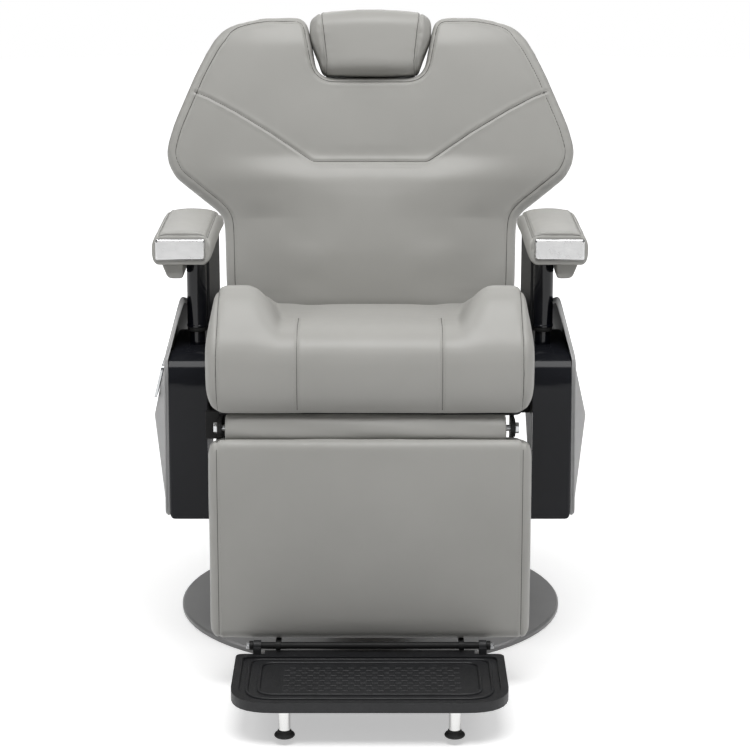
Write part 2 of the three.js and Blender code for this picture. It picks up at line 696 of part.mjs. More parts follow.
function legLink() {
  const front = [KNEE_Y + LINK_AT[0], KNEE_Z + LINK_AT[1]];
  const half = LINK_DEPTH / 2;
  const shape = outline([
    [front[0], front[1] - half],
    [ROD_END_Y, CYLINDER_Z - half],
    [ROD_END_Y, CYLINDER_Z + half],
    [front[0], front[1] + half],
  ]);
  const radius = half + 2;
  return join(
    slabX(shape, LINK_X),
    rodX(radius, LINK_X, front[0], front[1], 24),
    rodX(radius, LINK_X, ROD_END_Y, CYLINDER_Z, 24));
}

// ---------------------------------------------------------------- seat cushion
function insetRing(ring, distance) {
  return ring.map(([a, b], i) => {
    const before = ring[(i + ring.length - 1) % ring.length];
    const after = ring[(i + 1) % ring.length];
    const run = [after[0] - before[0], after[1] - before[1]];
    const length = Math.hypot(run[0], run[1]);
    return [a + distance * run[1] / length, b - distance * run[0] / length];
  });
}

function seatSection(x) {
  const depth = SEAT_REAR_Y - SEAT_CREST_Y;
  const side = smooth(BOLSTER_FOOT_X, BOLSTER_TOP_X, Math.abs(x));
  const rise = SEAT_CREST_Z - SEAT_REAR_TOP_Z;
  const top = (y) => {
    const t = Math.min(1, (SEAT_REAR_Y - y) / depth);
    const bolster = BOLSTER_REAR_HEIGHT + (BOLSTER_FRONT_HEIGHT - BOLSTER_REAR_HEIGHT) * t;
    return SEAT_REAR_TOP_Z + rise * t ** 1.6 + side * bolster;
  };
  const crest = SEAT_CREST_Z + side * BOLSTER_FRONT_HEIGHT;
  const height = crest - SEAT_BOTTOM_Z;
  const reach = SEAT_CREST_Y - SEAT_FRONT_Y;
  const front = [
    [0.3, 0], [0.58, 0.004], [0.77, 0.05], [0.91, 0.16], [0.985, 0.31], [1, 0.5],
    [0.97, 0.68], [0.89, 0.82], [0.74, 0.92], [0.52, 0.98], [0.26, 1],
  ].map(([out, up]) => [SEAT_CREST_Y - out * reach, SEAT_BOTTOM_Z + up * height]);
  const bottom = [SEAT_REAR_Y - 6, -30, -130, -230, -320].map((y) => [y, SEAT_BOTTOM_Z]);
  const surfaceTop = steps(SEAT_CREST_Y, SEAT_REAR_Y - 10, 11).map((y) => [y, top(y)]);
  const rear = [
    [SEAT_REAR_Y - 2, top(SEAT_REAR_Y) - 3],
    [SEAT_REAR_Y, top(SEAT_REAR_Y) - 12],
    [SEAT_REAR_Y, SEAT_BOTTOM_Z + 6],
  ];
  return [...bottom, ...front, ...surfaceTop, ...rear];
}

function seatCushion() {
  const inner = [0, 50, 100, BOLSTER_FOOT_X, 155, 167, 179, BOLSTER_TOP_X, 212];
  const edge = [0, 8, 15, 19.5, SEAT_EDGE_RADIUS].map((e) => SEAT_HALF_WIDTH - SEAT_EDGE_RADIUS + e);
  const right = [...inner, ...edge];
  const all = [...right.slice(1).reverse().map((x) => -x), ...right];
  return loft(all.map((x) => {
    const inset = drawnIn(SEAT_EDGE_RADIUS, SEAT_HALF_WIDTH - Math.abs(x));
    return insetRing(seatSection(x), inset).map(([y, z]) => new THREE.Vector3(x, y, z));
  }));
}

// ---------------------------------------------------------------- leg rest, drawn from the knee pivot
function legFrame() {
  const reach = [LEG_BOTTOM + 63, KNEE_EAR_RADIUS];
  const arms = LEG_ARMS.flatMap((x) => [
    rodX(KNEE_EAR_RADIUS + 2, x, 0, 0),
    box(x, [0, LEG_FRAME[1]], [-KNEE_EAR_RADIUS, KNEE_EAR_RADIUS]),
    box(x, LEG_FRAME, reach),
  ]);
  const wide = [LEG_ARMS[0][0], LEG_ARMS[1][1]];
  const upper = box(wide, LEG_FRAME, [-64, -40]);
  const lower = box(wide, LEG_FRAME, [reach[0], reach[0] + 24]);
  const eye = rodX(LINK_DEPTH / 2 + 2, LEG_ARMS[0], LINK_AT[0], LINK_AT[1], 24);
  const spacer = [LINK_X[1] + RUN, LEG_ARMS[0][0] + 1];
  const lugX = [140, 148];
  const lugTop = FOOT_HINGE[1] + FOOT_HINGE_RADIUS;
  const lug = join(
    box(lugX, LEG_FRAME, [FOOT_HINGE[1] - 6, reach[0] + 5]),
    box(lugX, [FOOT_HINGE[0], LEG_FRAME[1]], [FOOT_HINGE[1] - 6, lugTop]),
    rodX(FOOT_HINGE_RADIUS + 2, lugX, FOOT_HINGE[0], FOOT_HINGE[1], 24));
  const frame = join(
    ...arms,
    upper,
    lower,
    eye,
    rodX(LINK_DEPTH / 2, spacer, LINK_AT[0], LINK_AT[1], 24),
    lug,
    mirrorX(lug));
  const tubeHole = rodX(FOOT_HINGE_RADIUS + TOUCH, [lugX[0] - 1, lugX[1] + 1], FOOT_HINGE[0], FOOT_HINGE[1]);
  const pinHoles = LEG_ARMS.map((x) => rodX(KNEE_PIN_RADIUS + RUN, [x[0] - 1, x[1] + 1], 0, 0));
  return cut(frame, tubeHole, mirrorX(tubeHole), ...pinHoles);
}

function legBoard() {
  const half = LEG_HALF_WIDTH - LEG_BOARD_MARGIN;
  const top = -FLAP_RADIUS - 7;
  const shape = outline([
    [-half, LEG_BOTTOM + 7, 12],
    [half, LEG_BOTTOM + 7, 12],
    [half, top, 20],
    [-half, top, 20],
  ]);
  return slabY(shape, [LEG_BACK, LEG_BACK + LEG_BOARD_THICKNESS]);
}

function legCushion() {
  const back = LEG_BACK - TOUCH;
  const height = LEG_TOP - LEG_BOTTOM;
  const ends = [0, 1.5, 5, 11, 20];
  const rows = [...ends, 60, 110, 165, 220, 270, ...ends.map((end) => height - end).reverse()];
  const rings = rows.map((up) => {
    const z = LEG_BOTTOM + up;
    const fromTop = LEG_TOP - z;
    const half = LEG_HALF_WIDTH - drawnIn(22, fromTop + 1.5) - drawnIn(14, up + 1);
    const depth = back - LEG_FRONT - 0.7 * drawnIn(26, fromTop + 1) - drawnIn(18, up + 1);
    const crown = 9 * Math.sin(Math.PI * Math.min(1, up / 300 + 0.08));
    const right = [[half - 2, 0], [half, 0.2], [half, 0.55], [half - 5, 0.73]];
    const left = right.map(([x, d]) => [-x, d]).reverse();
    const front = steps(half - 14, 14 - half, 10).map((x) => {
      const u = x / half;
      return [x, 1 - (9 + crown * u * u) * (u * u) / depth - 0.02];
    });
    const rear = steps(2 - half, half - 2, 4).slice(1, -1).map((x) => [x, 0]);
    return [...right, ...front, ...left, ...rear].map(([x, d]) => new THREE.Vector3(x, back - d * depth, z));
  });
  const hollow = rodX(FLAP_RADIUS + 0.4, [-LEG_HALF_WIDTH - 1, LEG_HALF_WIDTH + 1], 0, 0, 48);
  return cut(loft(rings), hollow);
}

function kneeFlap() {
  const angles = steps(-105, 74, 16).map((degrees) => THREE.MathUtils.degToRad(degrees));
  const point = (x, radius, angle) => new THREE.Vector3(x, -radius * Math.cos(angle), radius * Math.sin(angle));
  return loft(steps(FLAP_LEFT_X, FLAP_RIGHT_X, 8).map((x) => {
    const sag = (angle) => 0.9 * (1 - Math.cos(3 * angle + x / 70)) / 2;
    const outer = angles.map((angle) => point(x, FLAP_RADIUS - sag(angle), angle));
    const inner = angles.map((angle) => point(x, FLAP_RADIUS - FLAP_THICKNESS, angle)).reverse();
    return [...outer, ...inner];
  }));
}

function footTube() {
  const outer = FOOT_KNUCKLE_X + FOOT_KNUCKLE_WIDTH + RUN;
  const head = rodX(FOOT_HINGE_RADIUS + 2, [outer, outer + 6], FOOT_HINGE[0], FOOT_HINGE[1], 20);
  const tube = rodX(FOOT_HINGE_RADIUS, [-outer - 3, outer + 3], FOOT_HINGE[0], FOOT_HINGE[1], 20);
  return join(tube, head, mirrorX(head));
}

// ---------------------------------------------------------------- footrest, drawn from its hinge
function footOutline(inset) {
  const half = FOOT_HALF_WIDTH - inset;
  const front = FOOT_CORNER - inset;
  return outline([
    [-half, FOOT_FRONT + inset, front],
    [half, FOOT_FRONT + inset, front],
    [half, FOOT_REAR - inset, 12],
    [-half, FOOT_REAR - inset, 12],
  ]);
}

function footPlate() {
  const bottom = FOOT_TOP - FOOT_THICKNESS;
  const skin = FOOT_TOP - FOOT_RECESS - 4;
  const plate = slabZ(footOutline(0), [bottom, FOOT_TOP], 8);
  const recess = slabZ(footOutline(FOOT_RIM), [FOOT_TOP - FOOT_RECESS, FOOT_TOP + 1], 8);
  const pocket = slabZ(footOutline(6), [bottom - 1, skin], 8);
  const boss = rodZ(FOOT_POST_RADIUS + 6, FOOT_POST_X, FOOT_POST_Y, [bottom, skin + 1], 24);
  const knuckleX = [FOOT_KNUCKLE_X, FOOT_KNUCKLE_X + FOOT_KNUCKLE_WIDTH];
  const knuckle = join(
    rodX(FOOT_HINGE_RADIUS + 3, knuckleX, 0, 0, 24),
    box(knuckleX, [FOOT_REAR - 6, 0], [FOOT_TOP - 8, 0]));
  const tongueX = FOOT_KNUCKLE_X - 6;
  const tongue = box([-tongueX, tongueX], [FOOT_REAR - 8, 6], [FOOT_TOP - FOOT_TONGUE_THICKNESS, FOOT_TOP]);
  const whole = join(cut(plate, recess, pocket), boss, mirrorX(boss), knuckle, mirrorX(knuckle), tongue);
  const hole = rodX(FOOT_HINGE_RADIUS + RUN, [knuckleX[0] - 1, knuckleX[1] + 1], 0, 0, 20);
  return cut(whole, hole, mirrorX(hole));
}

function footPost() {
  const bottom = GLIDE_FLOOR_GAP + GLIDE_HEIGHT + TOUCH - FOOT_HINGE_WORLD_Z;
  return rodZ(FOOT_POST_RADIUS, FOOT_POST_X, FOOT_POST_Y, [bottom, FOOT_TOP - FOOT_THICKNESS - TOUCH], 24);
}

function footGlide() {
  const glide = turned([
    [0, 0],
    [GLIDE_RADIUS - 2, 0],
    [GLIDE_RADIUS, 2],
    [GLIDE_RADIUS, GLIDE_HEIGHT - 7],
    [GLIDE_RADIUS - 1.5, GLIDE_HEIGHT - 5],
    [GLIDE_NECK_RADIUS, GLIDE_HEIGHT - 3],
    [GLIDE_NECK_RADIUS, GLIDE_HEIGHT],
    [0, GLIDE_HEIGHT],
  ], 28);
  return glide.translate(FOOT_POST_X, FOOT_POST_Y, GLIDE_FLOOR_GAP - FOOT_HINGE_WORLD_Z);
}

// ---------------------------------------------------------------- back, drawn from its pivot
const BACK_HALF_WIDTHS = [
  [BACK_BOTTOM, SEAT_HALF_WIDTH - 6],
  [88, SEAT_HALF_WIDTH - 3.5],
  [98, SEAT_HALF_WIDTH + 1],
  [200, SEAT_HALF_WIDTH + 3],
  [222, SEAT_HALF_WIDTH + 5],
  [236, BACK_WING_WIDTH - 87],
  [250, BACK_WING_WIDTH - 69],
  [292, BACK_WING_WIDTH - 16.5],
  [308, BACK_WING_WIDTH - 7],
  [325, BACK_WING_WIDTH - 1],
  [340, BACK_WING_WIDTH],
  [366, BACK_WING_WIDTH - 6.5],
  [387, BACK_WING_WIDTH - 13.5],
  [415, BACK_WING_WIDTH - 25.5],
  [443, BACK_WING_WIDTH - 38],
  [471, BACK_TOP_WIDTH + 44.5],
  [499, BACK_TOP_WIDTH + 30],
  [527, BACK_TOP_WIDTH + 14],
  [541, BACK_TOP_WIDTH + 2.5],
  [548, BACK_TOP_WIDTH - 5],
  [556, BACK_TOP_WIDTH - 20],
  [565, BACK_TOP_WIDTH - 54],
  [BACK_TOP, BACK_TOP_WIDTH - 80],
];
const BACK_ROWS = [
  BACK_BOTTOM, 27, 36, 60, 88, 98, 130, 165, 200, 222, 236, 250, 271, 292, 308, 325, 340, 366,
  387, 415, 443, 471, 499, 527, 541, 548, 556, 565, BACK_TOP,
];

function notch(margin, depth) {
  const low = NOTCH_HALF_WIDTH + margin;
  const high = low + 18;
  const shape = outline([
    [-low, NOTCH_BOTTOM - margin, NOTCH_CORNER],
    [low, NOTCH_BOTTOM - margin, NOTCH_CORNER],
    [high, BACK_TOP + 10],
    [-high, BACK_TOP + 10],
  ]);
  return slabY(shape, depth);
}

// The back's outline, drawn in by a margin, between two heights.
function backOutline(margin, low, high) {
  const inside = BACK_ROWS.filter((z) => z > low && z < high);
  const right = [low, ...inside, high].map((z) => [along(BACK_HALF_WIDTHS, z) - margin, z]);
  const left = right.map(([x, z]) => [-x, z]).reverse();
  return outline([...right, ...left]);
}

function backCushion() {
  const rings = BACK_ROWS.map((z) => {
    const half = along(BACK_HALF_WIDTHS, z);
    const thick = 1 - drawnIn(24, BACK_TOP + 1 - z) / 60 - drawnIn(14, z + 1 - BACK_BOTTOM) / 70;
    const lumbar = 16 * smooth(50, 170, z) * (1 - smooth(285, 335, z));
    const right = [[half - 6, BACK_REAR], [half - 1, BACK_REAR - 9], [half, 12], [half - 5, -8], [half - 13, -20]];
    const left = right.map(([x, y]) => [-x, y]).reverse();
    const front = steps(half - 20, 20 - half, 16).map((x) => {
      const u = x / half;
      return [x, -26 - 14 * (1 - u * u) - lumbar * (1 - smooth(0.35, 0.85, Math.abs(u)))];
    });
    const rear = steps(6 - half, half - 6, 4).slice(1, -1).map((x) => [x, BACK_REAR]);
    return [...right, ...front, ...left, ...rear].map(([x, y]) => (
      new THREE.Vector3(x, BACK_REAR - (BACK_REAR - y) * thick, z)));
  });
  return cut(loft(rings), notch(0, [-100, BACK_REAR + 1]));
}

function backBoard() {
  const shape = backOutline(BACK_BOARD_MARGIN, BACK_BOTTOM + 4, BACK_TOP - BACK_BOARD_MARGIN);
  return cut(slabY(shape, BOARD_BACK), notch(6, [BOARD_BACK[0] - 1, BOARD_BACK[1] + 1]));
}

function rearPanel() {
  const start = BOARD_BACK[1] + TOUCH;
  const rows = BACK_ROWS.filter((z) => z > 36 && z < 562);
  const rings = rows.map((z, i) => {
    const end = i === 0 || i === rows.length - 1 ? 5 : 0;
    const half = along(BACK_HALF_WIDTHS, z) - REAR_PANEL_MARGIN - end;
    const deep = start + REAR_PANEL_THICKNESS - end;
    const right = [[half, start], [half, deep - 12], [half - 4, deep - 4], [half - 14, deep]];
    const left = right.map(([x, y]) => [-x, y]).reverse();
    return [...right, ...left].map(([x, y]) => new THREE.Vector3(x, y, z));
  });
  const guideDepth = BAR_BACK[1] + 5 + TOUCH;
  const hollow = slabY(backOutline(REAR_PANEL_MARGIN + 20, BACK_BOTTOM, 540), [start - 1, guideDepth]);
  const barSlot = box([-SIDE_INNER_X, SIDE_INNER_X], [start - 1, BAR_BACK[1] + 0.7], [0, 440]);
  return cut(loft(rings), hollow, barSlot, notch(3, [start - 1, start + REAR_PANEL_THICKNESS + 1]));
}

function backFrame() {
  const barX = [BRACKET[0] - 2 - BACK_BAR_WIDTH, BRACKET[0] - 2];
  const eye = CRANK_IN_BACK;
  const bracketShape = outline([
    [-8, -16],
    [BAR_BACK[1], 45, 6],
    [BAR_BACK[1], 100],
    [BACK_REAR + 1.5, 100],
    [BACK_REAR + 1.5, 84, 4],
    [-16, 8],
  ]);
  const bracket = join(
    rodX(BACK_BOSS_RADIUS, BRACKET, 0, 0),
    rodX(BACK_BOSS_RADIUS - 4, [BRACKET[1] - 1, SIDE_INNER_X - RUN], 0, 0),
    slabX(bracketShape, BRACKET),
    box([barX[0], BRACKET[1]], BAR_BACK, [60, 100]),
    box(barX, BAR_BACK, [60, 430]));
  const linkCrankShape = outline([[-10, -14], [eye[0] - 8, eye[1] - 8], [eye[0] + 8, eye[1] + 6], [16, 8]]);
  const leftBracket = [-BRACKET[1], -BRACKET[0]];
  const crankX = [CYLINDER_X - BRACKET_THICKNESS / 2, CYLINDER_X + BRACKET_THICKNESS / 2];
  const crankShape = outline([
    [BAR_BACK[0], 96],
    [BAR_BACK[1] + 4, 96],
    [eye[0] + 16, 10, 20],
    [eye[0] + 10, eye[1]],
    [eye[0] - 10, eye[1]],
    [BAR_BACK[0] - 6, 0, 20],
    [BAR_BACK[0], BACK_BOTTOM - 4],
  ]);
  const frame = join(
    bracket,
    mirrorX(bracket),
    box([-BRACKET[0], BRACKET[0]], BAR_BACK, [64, 100]),
    box([-BRACKET[0] + 4, BRACKET[0] - 4], BAR_BACK, [190, 222]),
    slabX(linkCrankShape, leftBracket),
    rodX(CRANK_EYE_RADIUS, leftBracket, eye[0], eye[1], 24),
    slabX(crankShape, crankX),
    rodX(CRANK_EYE_RADIUS, crankX, eye[0], eye[1], 24));
  const hole = rodX(BACK_PIN_RADIUS + RUN, [BRACKET[0] - 1, SIDE_INNER_X], 0, 0);
  return cut(frame, hole, mirrorX(hole));
}

function headrestGuide() {
  const half = HEADREST_BAR_WIDTH / 2;
  const z = [HEADREST_GUIDE_BOTTOM, HEADREST_GUIDE_BOTTOM + HEADREST_GUIDE_HEIGHT];
  const block = box([-half - 9, half + 9], [BAR_BACK[0], BAR_BACK[1] + 5], z);
  const slot = box([-half - RUN, half + RUN], [BAR_BACK[0] - 1, BAR_BACK[1] + 1], [z[0] - 1, z[1] + 1]);
  return cut(block, slot);
}

// ---------------------------------------------------------------- headrest, drawn from the back's pivot
function headrestBar() {
  const half = HEADREST_BAR_WIDTH / 2;
  const front = BAR_BACK[0] + 0.4;
  return box([-half, half], [front, front + HEADREST_BAR_THICKNESS], [HEADREST_BAR_BOTTOM, HEADREST_TOP - 20]);
}

function headrestBoard() {
  const half = HEADREST_FOOT_HALF_WIDTH - 9;
  const shape = outline([
    [-half, HEADREST_BOTTOM + 10, 14],
    [half, HEADREST_BOTTOM + 10, 14],
    [half + 10, HEADREST_TOP - 16, 14],
    [-half - 10, HEADREST_TOP - 16, 14],
  ]);
  return slabY(shape, BOARD_BACK);
}

function headrestCushion() {
  const height = HEADREST_TOP - HEADREST_BOTTOM;
  const rows = [0, 2, 7, 15, 30, 50, 70, 86, 97, 105, 109, height];
  const rings = rows.map((up) => {
    const z = HEADREST_BOTTOM + up;
    const taper = smooth(0, 78, up) * (HEADREST_HALF_WIDTH - HEADREST_FOOT_HALF_WIDTH);
    const half = HEADREST_FOOT_HALF_WIDTH + taper - drawnIn(16, up + 1) - drawnIn(20, height - up + 1);
    const depth = BACK_REAR - HEADREST_FRONT - drawnIn(26, up + 1) - 1.2 * drawnIn(30, height - up + 2);
    const right = [[half - 6, 0], [half - 1, 0.1], [half, 0.35], [half - 1, 0.6], [half - 5, 0.76]];
    const left = right.map(([x, d]) => [-x, d]).reverse();
    const front = steps(half - 14, 14 - half, 8).map((x) => [x, 1 - 0.13 * (x / half) ** 2]);
    const rear = steps(6 - half, half - 6, 4).slice(1, -1).map((x) => [x, 0]);
    return [...right, ...front, ...left, ...rear].map(([x, d]) => (
      new THREE.Vector3(x, BACK_REAR - d * depth, z - 5 * (up / height) * (x / half) ** 2)));
  });
  return loft(rings);
}

// ---------------------------------------------------------------- arms and side covers
function housingBody(inset, innerX) {
  const front = HOUSING_FRONT_Y + inset;
  const rear = HOUSING_REAR_Y - inset;
  const top = HOUSING_TOP_Z - inset;
  const bottom = HOUSING_BOTTOM_Z + inset;
  const outer = HOUSING_OUTER_X - inset;
  const side = slabX(outline([
    [front, top, HOUSING_ROLL],
    [front, bottom, 6],
    [rear - 90, bottom, 6],
    [rear - 90, bottom + 90, 20],
    [rear, bottom + 178, 20],
    [rear, top, 8],
  ]), [innerX, outer]);
  const face = slabY(outline([
    [innerX, bottom],
    [outer, bottom, HOUSING_CORNER],
    [outer - HOUSING_TAPER, top, HOUSING_CORNER],
    [innerX, top],
  ]), [front, rear]);
  const plan = slabZ(outline([
    [innerX, front],
    [outer, front, 8],
    [outer, rear],
    [innerX, rear],
  ]), [bottom, top]);
  return common(common(side, face), plan);
}

// Open toward the seat: its front laps over the side plate's edge, its top over the plate.
function sideHousing() {
  const open = SIDE_INNER_X - 1;
  const rear = HOUSING_REAR_Y + 1;
  const plateTop = SIDE_PLATE_TOP_Z + TOUCH;
  const plateRoom = box([open, SIDE_OUTER_X + TOUCH], [SIDE_FRONT_Y - 2, rear], [HOUSING_BOTTOM_Z - 1, plateTop]);
  const panelRoom = box(
    [open, SIDE_INNER_X + ARM_PANEL_THICKNESS + TOUCH],
    [POST_Y + SLEEVE_RADIUS + 1, rear],
    [plateTop - 1, HOUSING_TOP_Z + 1]);
  const postHole = rodZ(POST_RADIUS + RUN, POST_X, POST_Y, [HOUSING_TOP_Z - 20, HOUSING_TOP_Z + 5]);
  return cut(housingBody(0, SIDE_INNER_X), housingBody(HOUSING_WALL, open), plateRoom, panelRoom, postHole);
}

function sidePanel() {
  const shoulderZ = RIDGE_Z + (RIDGE_X - SHELL_SHOULDER_X) / FACET_SLOPE;
  const outer = [
    [SHELL_FRONT_X, SIDE_FRONT_Y + 8, SIDE_PLATE_BOTTOM_Z],
    [SHELL_SHOULDER_X, SIDE_FRONT_Y, shoulderZ],
    [SHELL_TOP_X, -235, SHELL_TOP_Z - 3],
    [SHELL_TOP_X, 30, SHELL_REAR_TOP_Z],
    [SHELL_TOP_X + 21, BACK_PIVOT_Y + 42, 478],
    [SHELL_TOP_X + 23, BACK_PIVOT_Y + 42, 404],
    [SHELL_FRONT_X, -130, SIDE_PLATE_BOTTOM_Z - 12],
    [RIDGE_X, -200, RIDGE_Z],
    [RIDGE_X, 50, RIDGE_Z],
  ].map(([x, y, z]) => new THREE.Vector3(x, y, z));
  const [foot, shoulder, topFront, topRear, rearHigh, rearLow, heel, ridgeFront, ridgeRear] = outer.keys();
  const faces = [
    [foot, ridgeFront, shoulder],
    [shoulder, ridgeFront, topFront],
    [topFront, ridgeFront, ridgeRear],
    [topFront, ridgeRear, topRear],
    [topRear, ridgeRear, rearHigh],
    [rearHigh, ridgeRear, rearLow],
    [rearLow, ridgeRear, heel],
    [heel, ridgeRear, ridgeFront],
    [heel, ridgeFront, foot],
  ];
  const count = outer.length;
  const inner = outer.map((p) => new THREE.Vector3(p.x - SHELL_WALL, p.y, p.z));
  const rim = [foot, shoulder, topFront, topRear, rearHigh, rearLow, heel];
  const index = faces.flatMap(([a, b, c]) => [a, b, c, a + count, c + count, b + count]);
  rim.forEach((a, i) => {
    const b = rim[(i + 1) % rim.length];
    index.push(a, b, a + count, b, b + count, a + count);
  });
  const standoffs = [[-10, 440, 0.9], [40, 430, 1.4]].map(([y, z, walls]) => (
    rodX(STANDOFF_RADIUS, [SIDE_OUTER_X + TOUCH, facetX(z) - walls * SHELL_WALL], y, z, 20)));
  return join(surface([...outer, ...inner], index), ...standoffs);
}

function armSleeve() {
  const inner = POST_RADIUS + TOUCH;
  const sleeve = turned([
    [inner, SLEEVE_BOTTOM_Z],
    [SLEEVE_RADIUS + 1, SLEEVE_BOTTOM_Z],
    [SLEEVE_RADIUS + 1, SLEEVE_BOTTOM_Z + 3],
    [SLEEVE_RADIUS, SLEEVE_BOTTOM_Z + 4],
    [SLEEVE_RADIUS, ARM_UNDER_Z],
    [inner, ARM_UNDER_Z],
    [inner, SLEEVE_BOTTOM_Z],
  ], 32);
  return sleeve.translate(POST_X, POST_Y, 0);
}

function armSidePanel() {
  const front = POST_Y + SLEEVE_RADIUS + 2;
  const low = SIDE_PLATE_TOP_Z + TOUCH;
  const shape = outline([
    [front, low],
    [ARM_REAR_Y + 20, low],
    [ARM_REAR_Y + 10, ARM_UNDER_Z, 10],
    [front, ARM_UNDER_Z],
  ]);
  return slabX(shape, [SIDE_INNER_X, SIDE_INNER_X + ARM_PANEL_THICKNESS]);
}

// The pad's section: how far out from the side plate, and the share of its height.
const ARM_SECTION = [
  [0, 0], [38, 0], [78, 0], [84, 0.16], [86, 0.45], [83, 0.72], [74, 0.92], [57, 1], [38, 1.02],
  [19, 1], [5, 0.95], [-4, 0.8], [-10, 0.58], [-11, 0.36], [-7, 0.15],
];

function armPad() {
  const places = [0, 3, 14, 60, 120, 180, 228, 262, 290, 308, 320, ARM_REAR_Y - ARM_FRONT_Y];
  const centre = 34;
  return loft(places.map((place) => {
    const toEnd = ARM_REAR_Y - ARM_FRONT_Y - place;
    const inset = drawnIn(5, place + 0.5) + drawnIn(26, toEnd + 1);
    const height = (ARM_TOP_Z - ARM_BOTTOM_Z) * (1 - 0.4 * smooth(200, 340, place));
    const scale = 1 - inset / 55;
    return ARM_SECTION.map(([out, up]) => new THREE.Vector3(
      SIDE_INNER_X + centre + (out - centre) * scale, ARM_FRONT_Y + place, ARM_BOTTOM_Z + up * height * scale));
  }));
}

function armBlock() {
  const bottom = ARM_UNDER_Z - ARM_BLOCK_HEIGHT;
  const outer = ARM_BLOCK_INNER_X + ARM_BLOCK_WIDTH;
  const shape = outline([
    [ARM_BLOCK_INNER_X, bottom, 5],
    [outer - 10, bottom, 8],
    [outer, ARM_UNDER_Z],
    [ARM_BLOCK_INNER_X, ARM_UNDER_Z],
  ]);
  return slabY(shape, [ARM_FRONT_Y + 13, ARM_REAR_Y - 100]);
}

function armEndPlate() {
  const back = ARM_FRONT_Y - TOUCH;
  const outer = SIDE_INNER_X + ARM_PLATE_WIDTH;
  const low = ARM_BOTTOM_Z + ARM_PLATE_RISE;
  const high = low + ARM_PLATE_HEIGHT;
  const ring = (inset, y) => outline([
    [SIDE_INNER_X + inset, low + inset, 4],
    [outer - inset, low + inset, 4],
    [outer - inset, high - inset, 4],
    [SIDE_INNER_X + inset, high - inset, 4],
  ]).getPoints(4).slice(0, -1).map((p) => new THREE.Vector3(p.x, y, p.y));
  const bevel = 2.5;
  return loft([ring(0, back), ring(0, back - ARM_PLATE_THICKNESS + bevel), ring(bevel, back - ARM_PLATE_THICKNESS)]);
}

// Drawn on the right from its pivot, flat against the panel's upper facet.
function leverPlate() {
  const inner = facetX(LEVER_PIVOT_Z) + 2;
  const shape = outline([
    [-LEVER_REACH, -40, 10],
    [-LEVER_REACH + 64, -36, 10],
    [-LEVER_REACH + 80, -4, 20],
    [0, -12, 4],
    [12, 0, 8],
    [0, 12, 4],
    [-LEVER_REACH + 80, 14, 20],
    [-LEVER_REACH + 60, 18, 10],
    [-LEVER_REACH, 16, 10],
  ]);
  const lean = new THREE.Matrix4().set(1, 0, -FACET_SLOPE, 0, 0, 1, 0, 0, 0, 0, 1, 0, 0, 0, 0, 1);
  const plate = slabX(shape, [inner, inner + LEVER_THICKNESS]).applyMatrix4(lean);
  const shaft = rodX(LEVER_SHAFT_RADIUS, [SIDE_INNER_X - 3, inner + 2], 0, 0, 20);
  return mirrorX(join(plate, shaft));
}

// ---------------------------------------------------------------- assembly
function groupAt(parent, x, y, z) {
  const group = new THREE.Group();
  group.position.set(x, y, z);
  parent.add(group);
  return group;
}

const chair = new THREE.Group();

const base = groupAt(chair, 0, 0, 0);
add(base, 'base_plate', basePlate(), BASE_PAINT);
add(base, 'pump_body', pumpBody(), BLACK_PAINT);
add(base, 'pump_cover', pumpCover(), GLOSS_BLACK);
boltPlaces.forEach(([x, y], i) => add(base, `flange_bolt_${i + 1}`, flangeBolt(x, y), STEEL));
add(base, 'pedal_pin', pedalPin(), STEEL);

const pedal = groupAt(chair, 0, PEDAL_PIVOT_Y, PEDAL_PIVOT_Z);
add(pedal, 'pedal_arm', pedalArm(), CHROME);
add(pedal, 'pedal_pad', pedalPad(), RUBBER);

const lift = groupAt(chair, 0, 0, 0);
add(lift, 'lift_ram', ramProfile(0, PUMP_BOTTOM_Z + PUMP_FLOOR + TOUCH), CHROME);

const seat = groupAt(chair, 0, 0, 0);
add(seat, 'swivel_socket', swivelSocket(), BLACK_PAINT);
add(seat, 'seat_frame', seatFrame(), BLACK_PAINT);
add(seat, 'side_plate_right', sidePlate(), BLACK_PAINT);
add(seat, 'side_plate_left', cut(mirrorX(sidePlate()), leverHole(LEVER_SHAFT_RADIUS + RUN)), BLACK_PAINT);
add(seat, 'seat_board', seatBoard(), BLACK_WOOD);
add(seat, 'seat_cushion', seatCushion(), LEATHER);
addPair(seat, 'back_pin', backPin(), STEEL);
add(seat, 'knee_bolt_right', kneeBolt([KNEE_EAR_X, KNEE_EAR_X + KNEE_EAR_THICKNESS], LEG_ARMS[1]), STEEL);
add(seat, 'knee_bolt_left', kneeBolt([-KNEE_EAR_X - KNEE_EAR_THICKNESS, -KNEE_EAR_X], LEG_ARMS[0]), STEEL);
addPair(seat, 'side_housing', sideHousing(), HOUSING_PLASTIC);
add(seat, 'side_panel_right', sidePanel(), GREY_PLASTIC);
add(seat, 'side_panel_left', cut(mirrorX(sidePanel()), leverHole(LEVER_SHAFT_RADIUS + RUN)), GREY_PLASTIC);
addPair(seat, 'arm_post', rodZ(POST_RADIUS, POST_X, POST_Y, [POST_BOTTOM_Z, ARM_UNDER_Z]), GLOSS_BLACK);
addPair(seat, 'arm_sleeve', armSleeve(), GLOSS_BLACK);
addPair(seat, 'arm_side_panel', armSidePanel(), TEXTURED_PLASTIC);
addPair(seat, 'arm_pad', armPad(), LEATHER);
addPair(seat, 'arm_block', armBlock(), LEATHER);
addPair(seat, 'arm_end_plate', armEndPlate(), CHROME);
add(seat, 'recline_cylinder', reclineCylinder(), BLACK_PAINT);
add(seat, 'recline_rod', reclineRod(), CHROME);
add(seat, 'leg_link', legLink(), BLACK_PAINT);

const lever = groupAt(seat, 0, LEVER_PIVOT_Y, LEVER_PIVOT_Z);
add(lever, 'recline_lever', leverPlate(), STEEL);

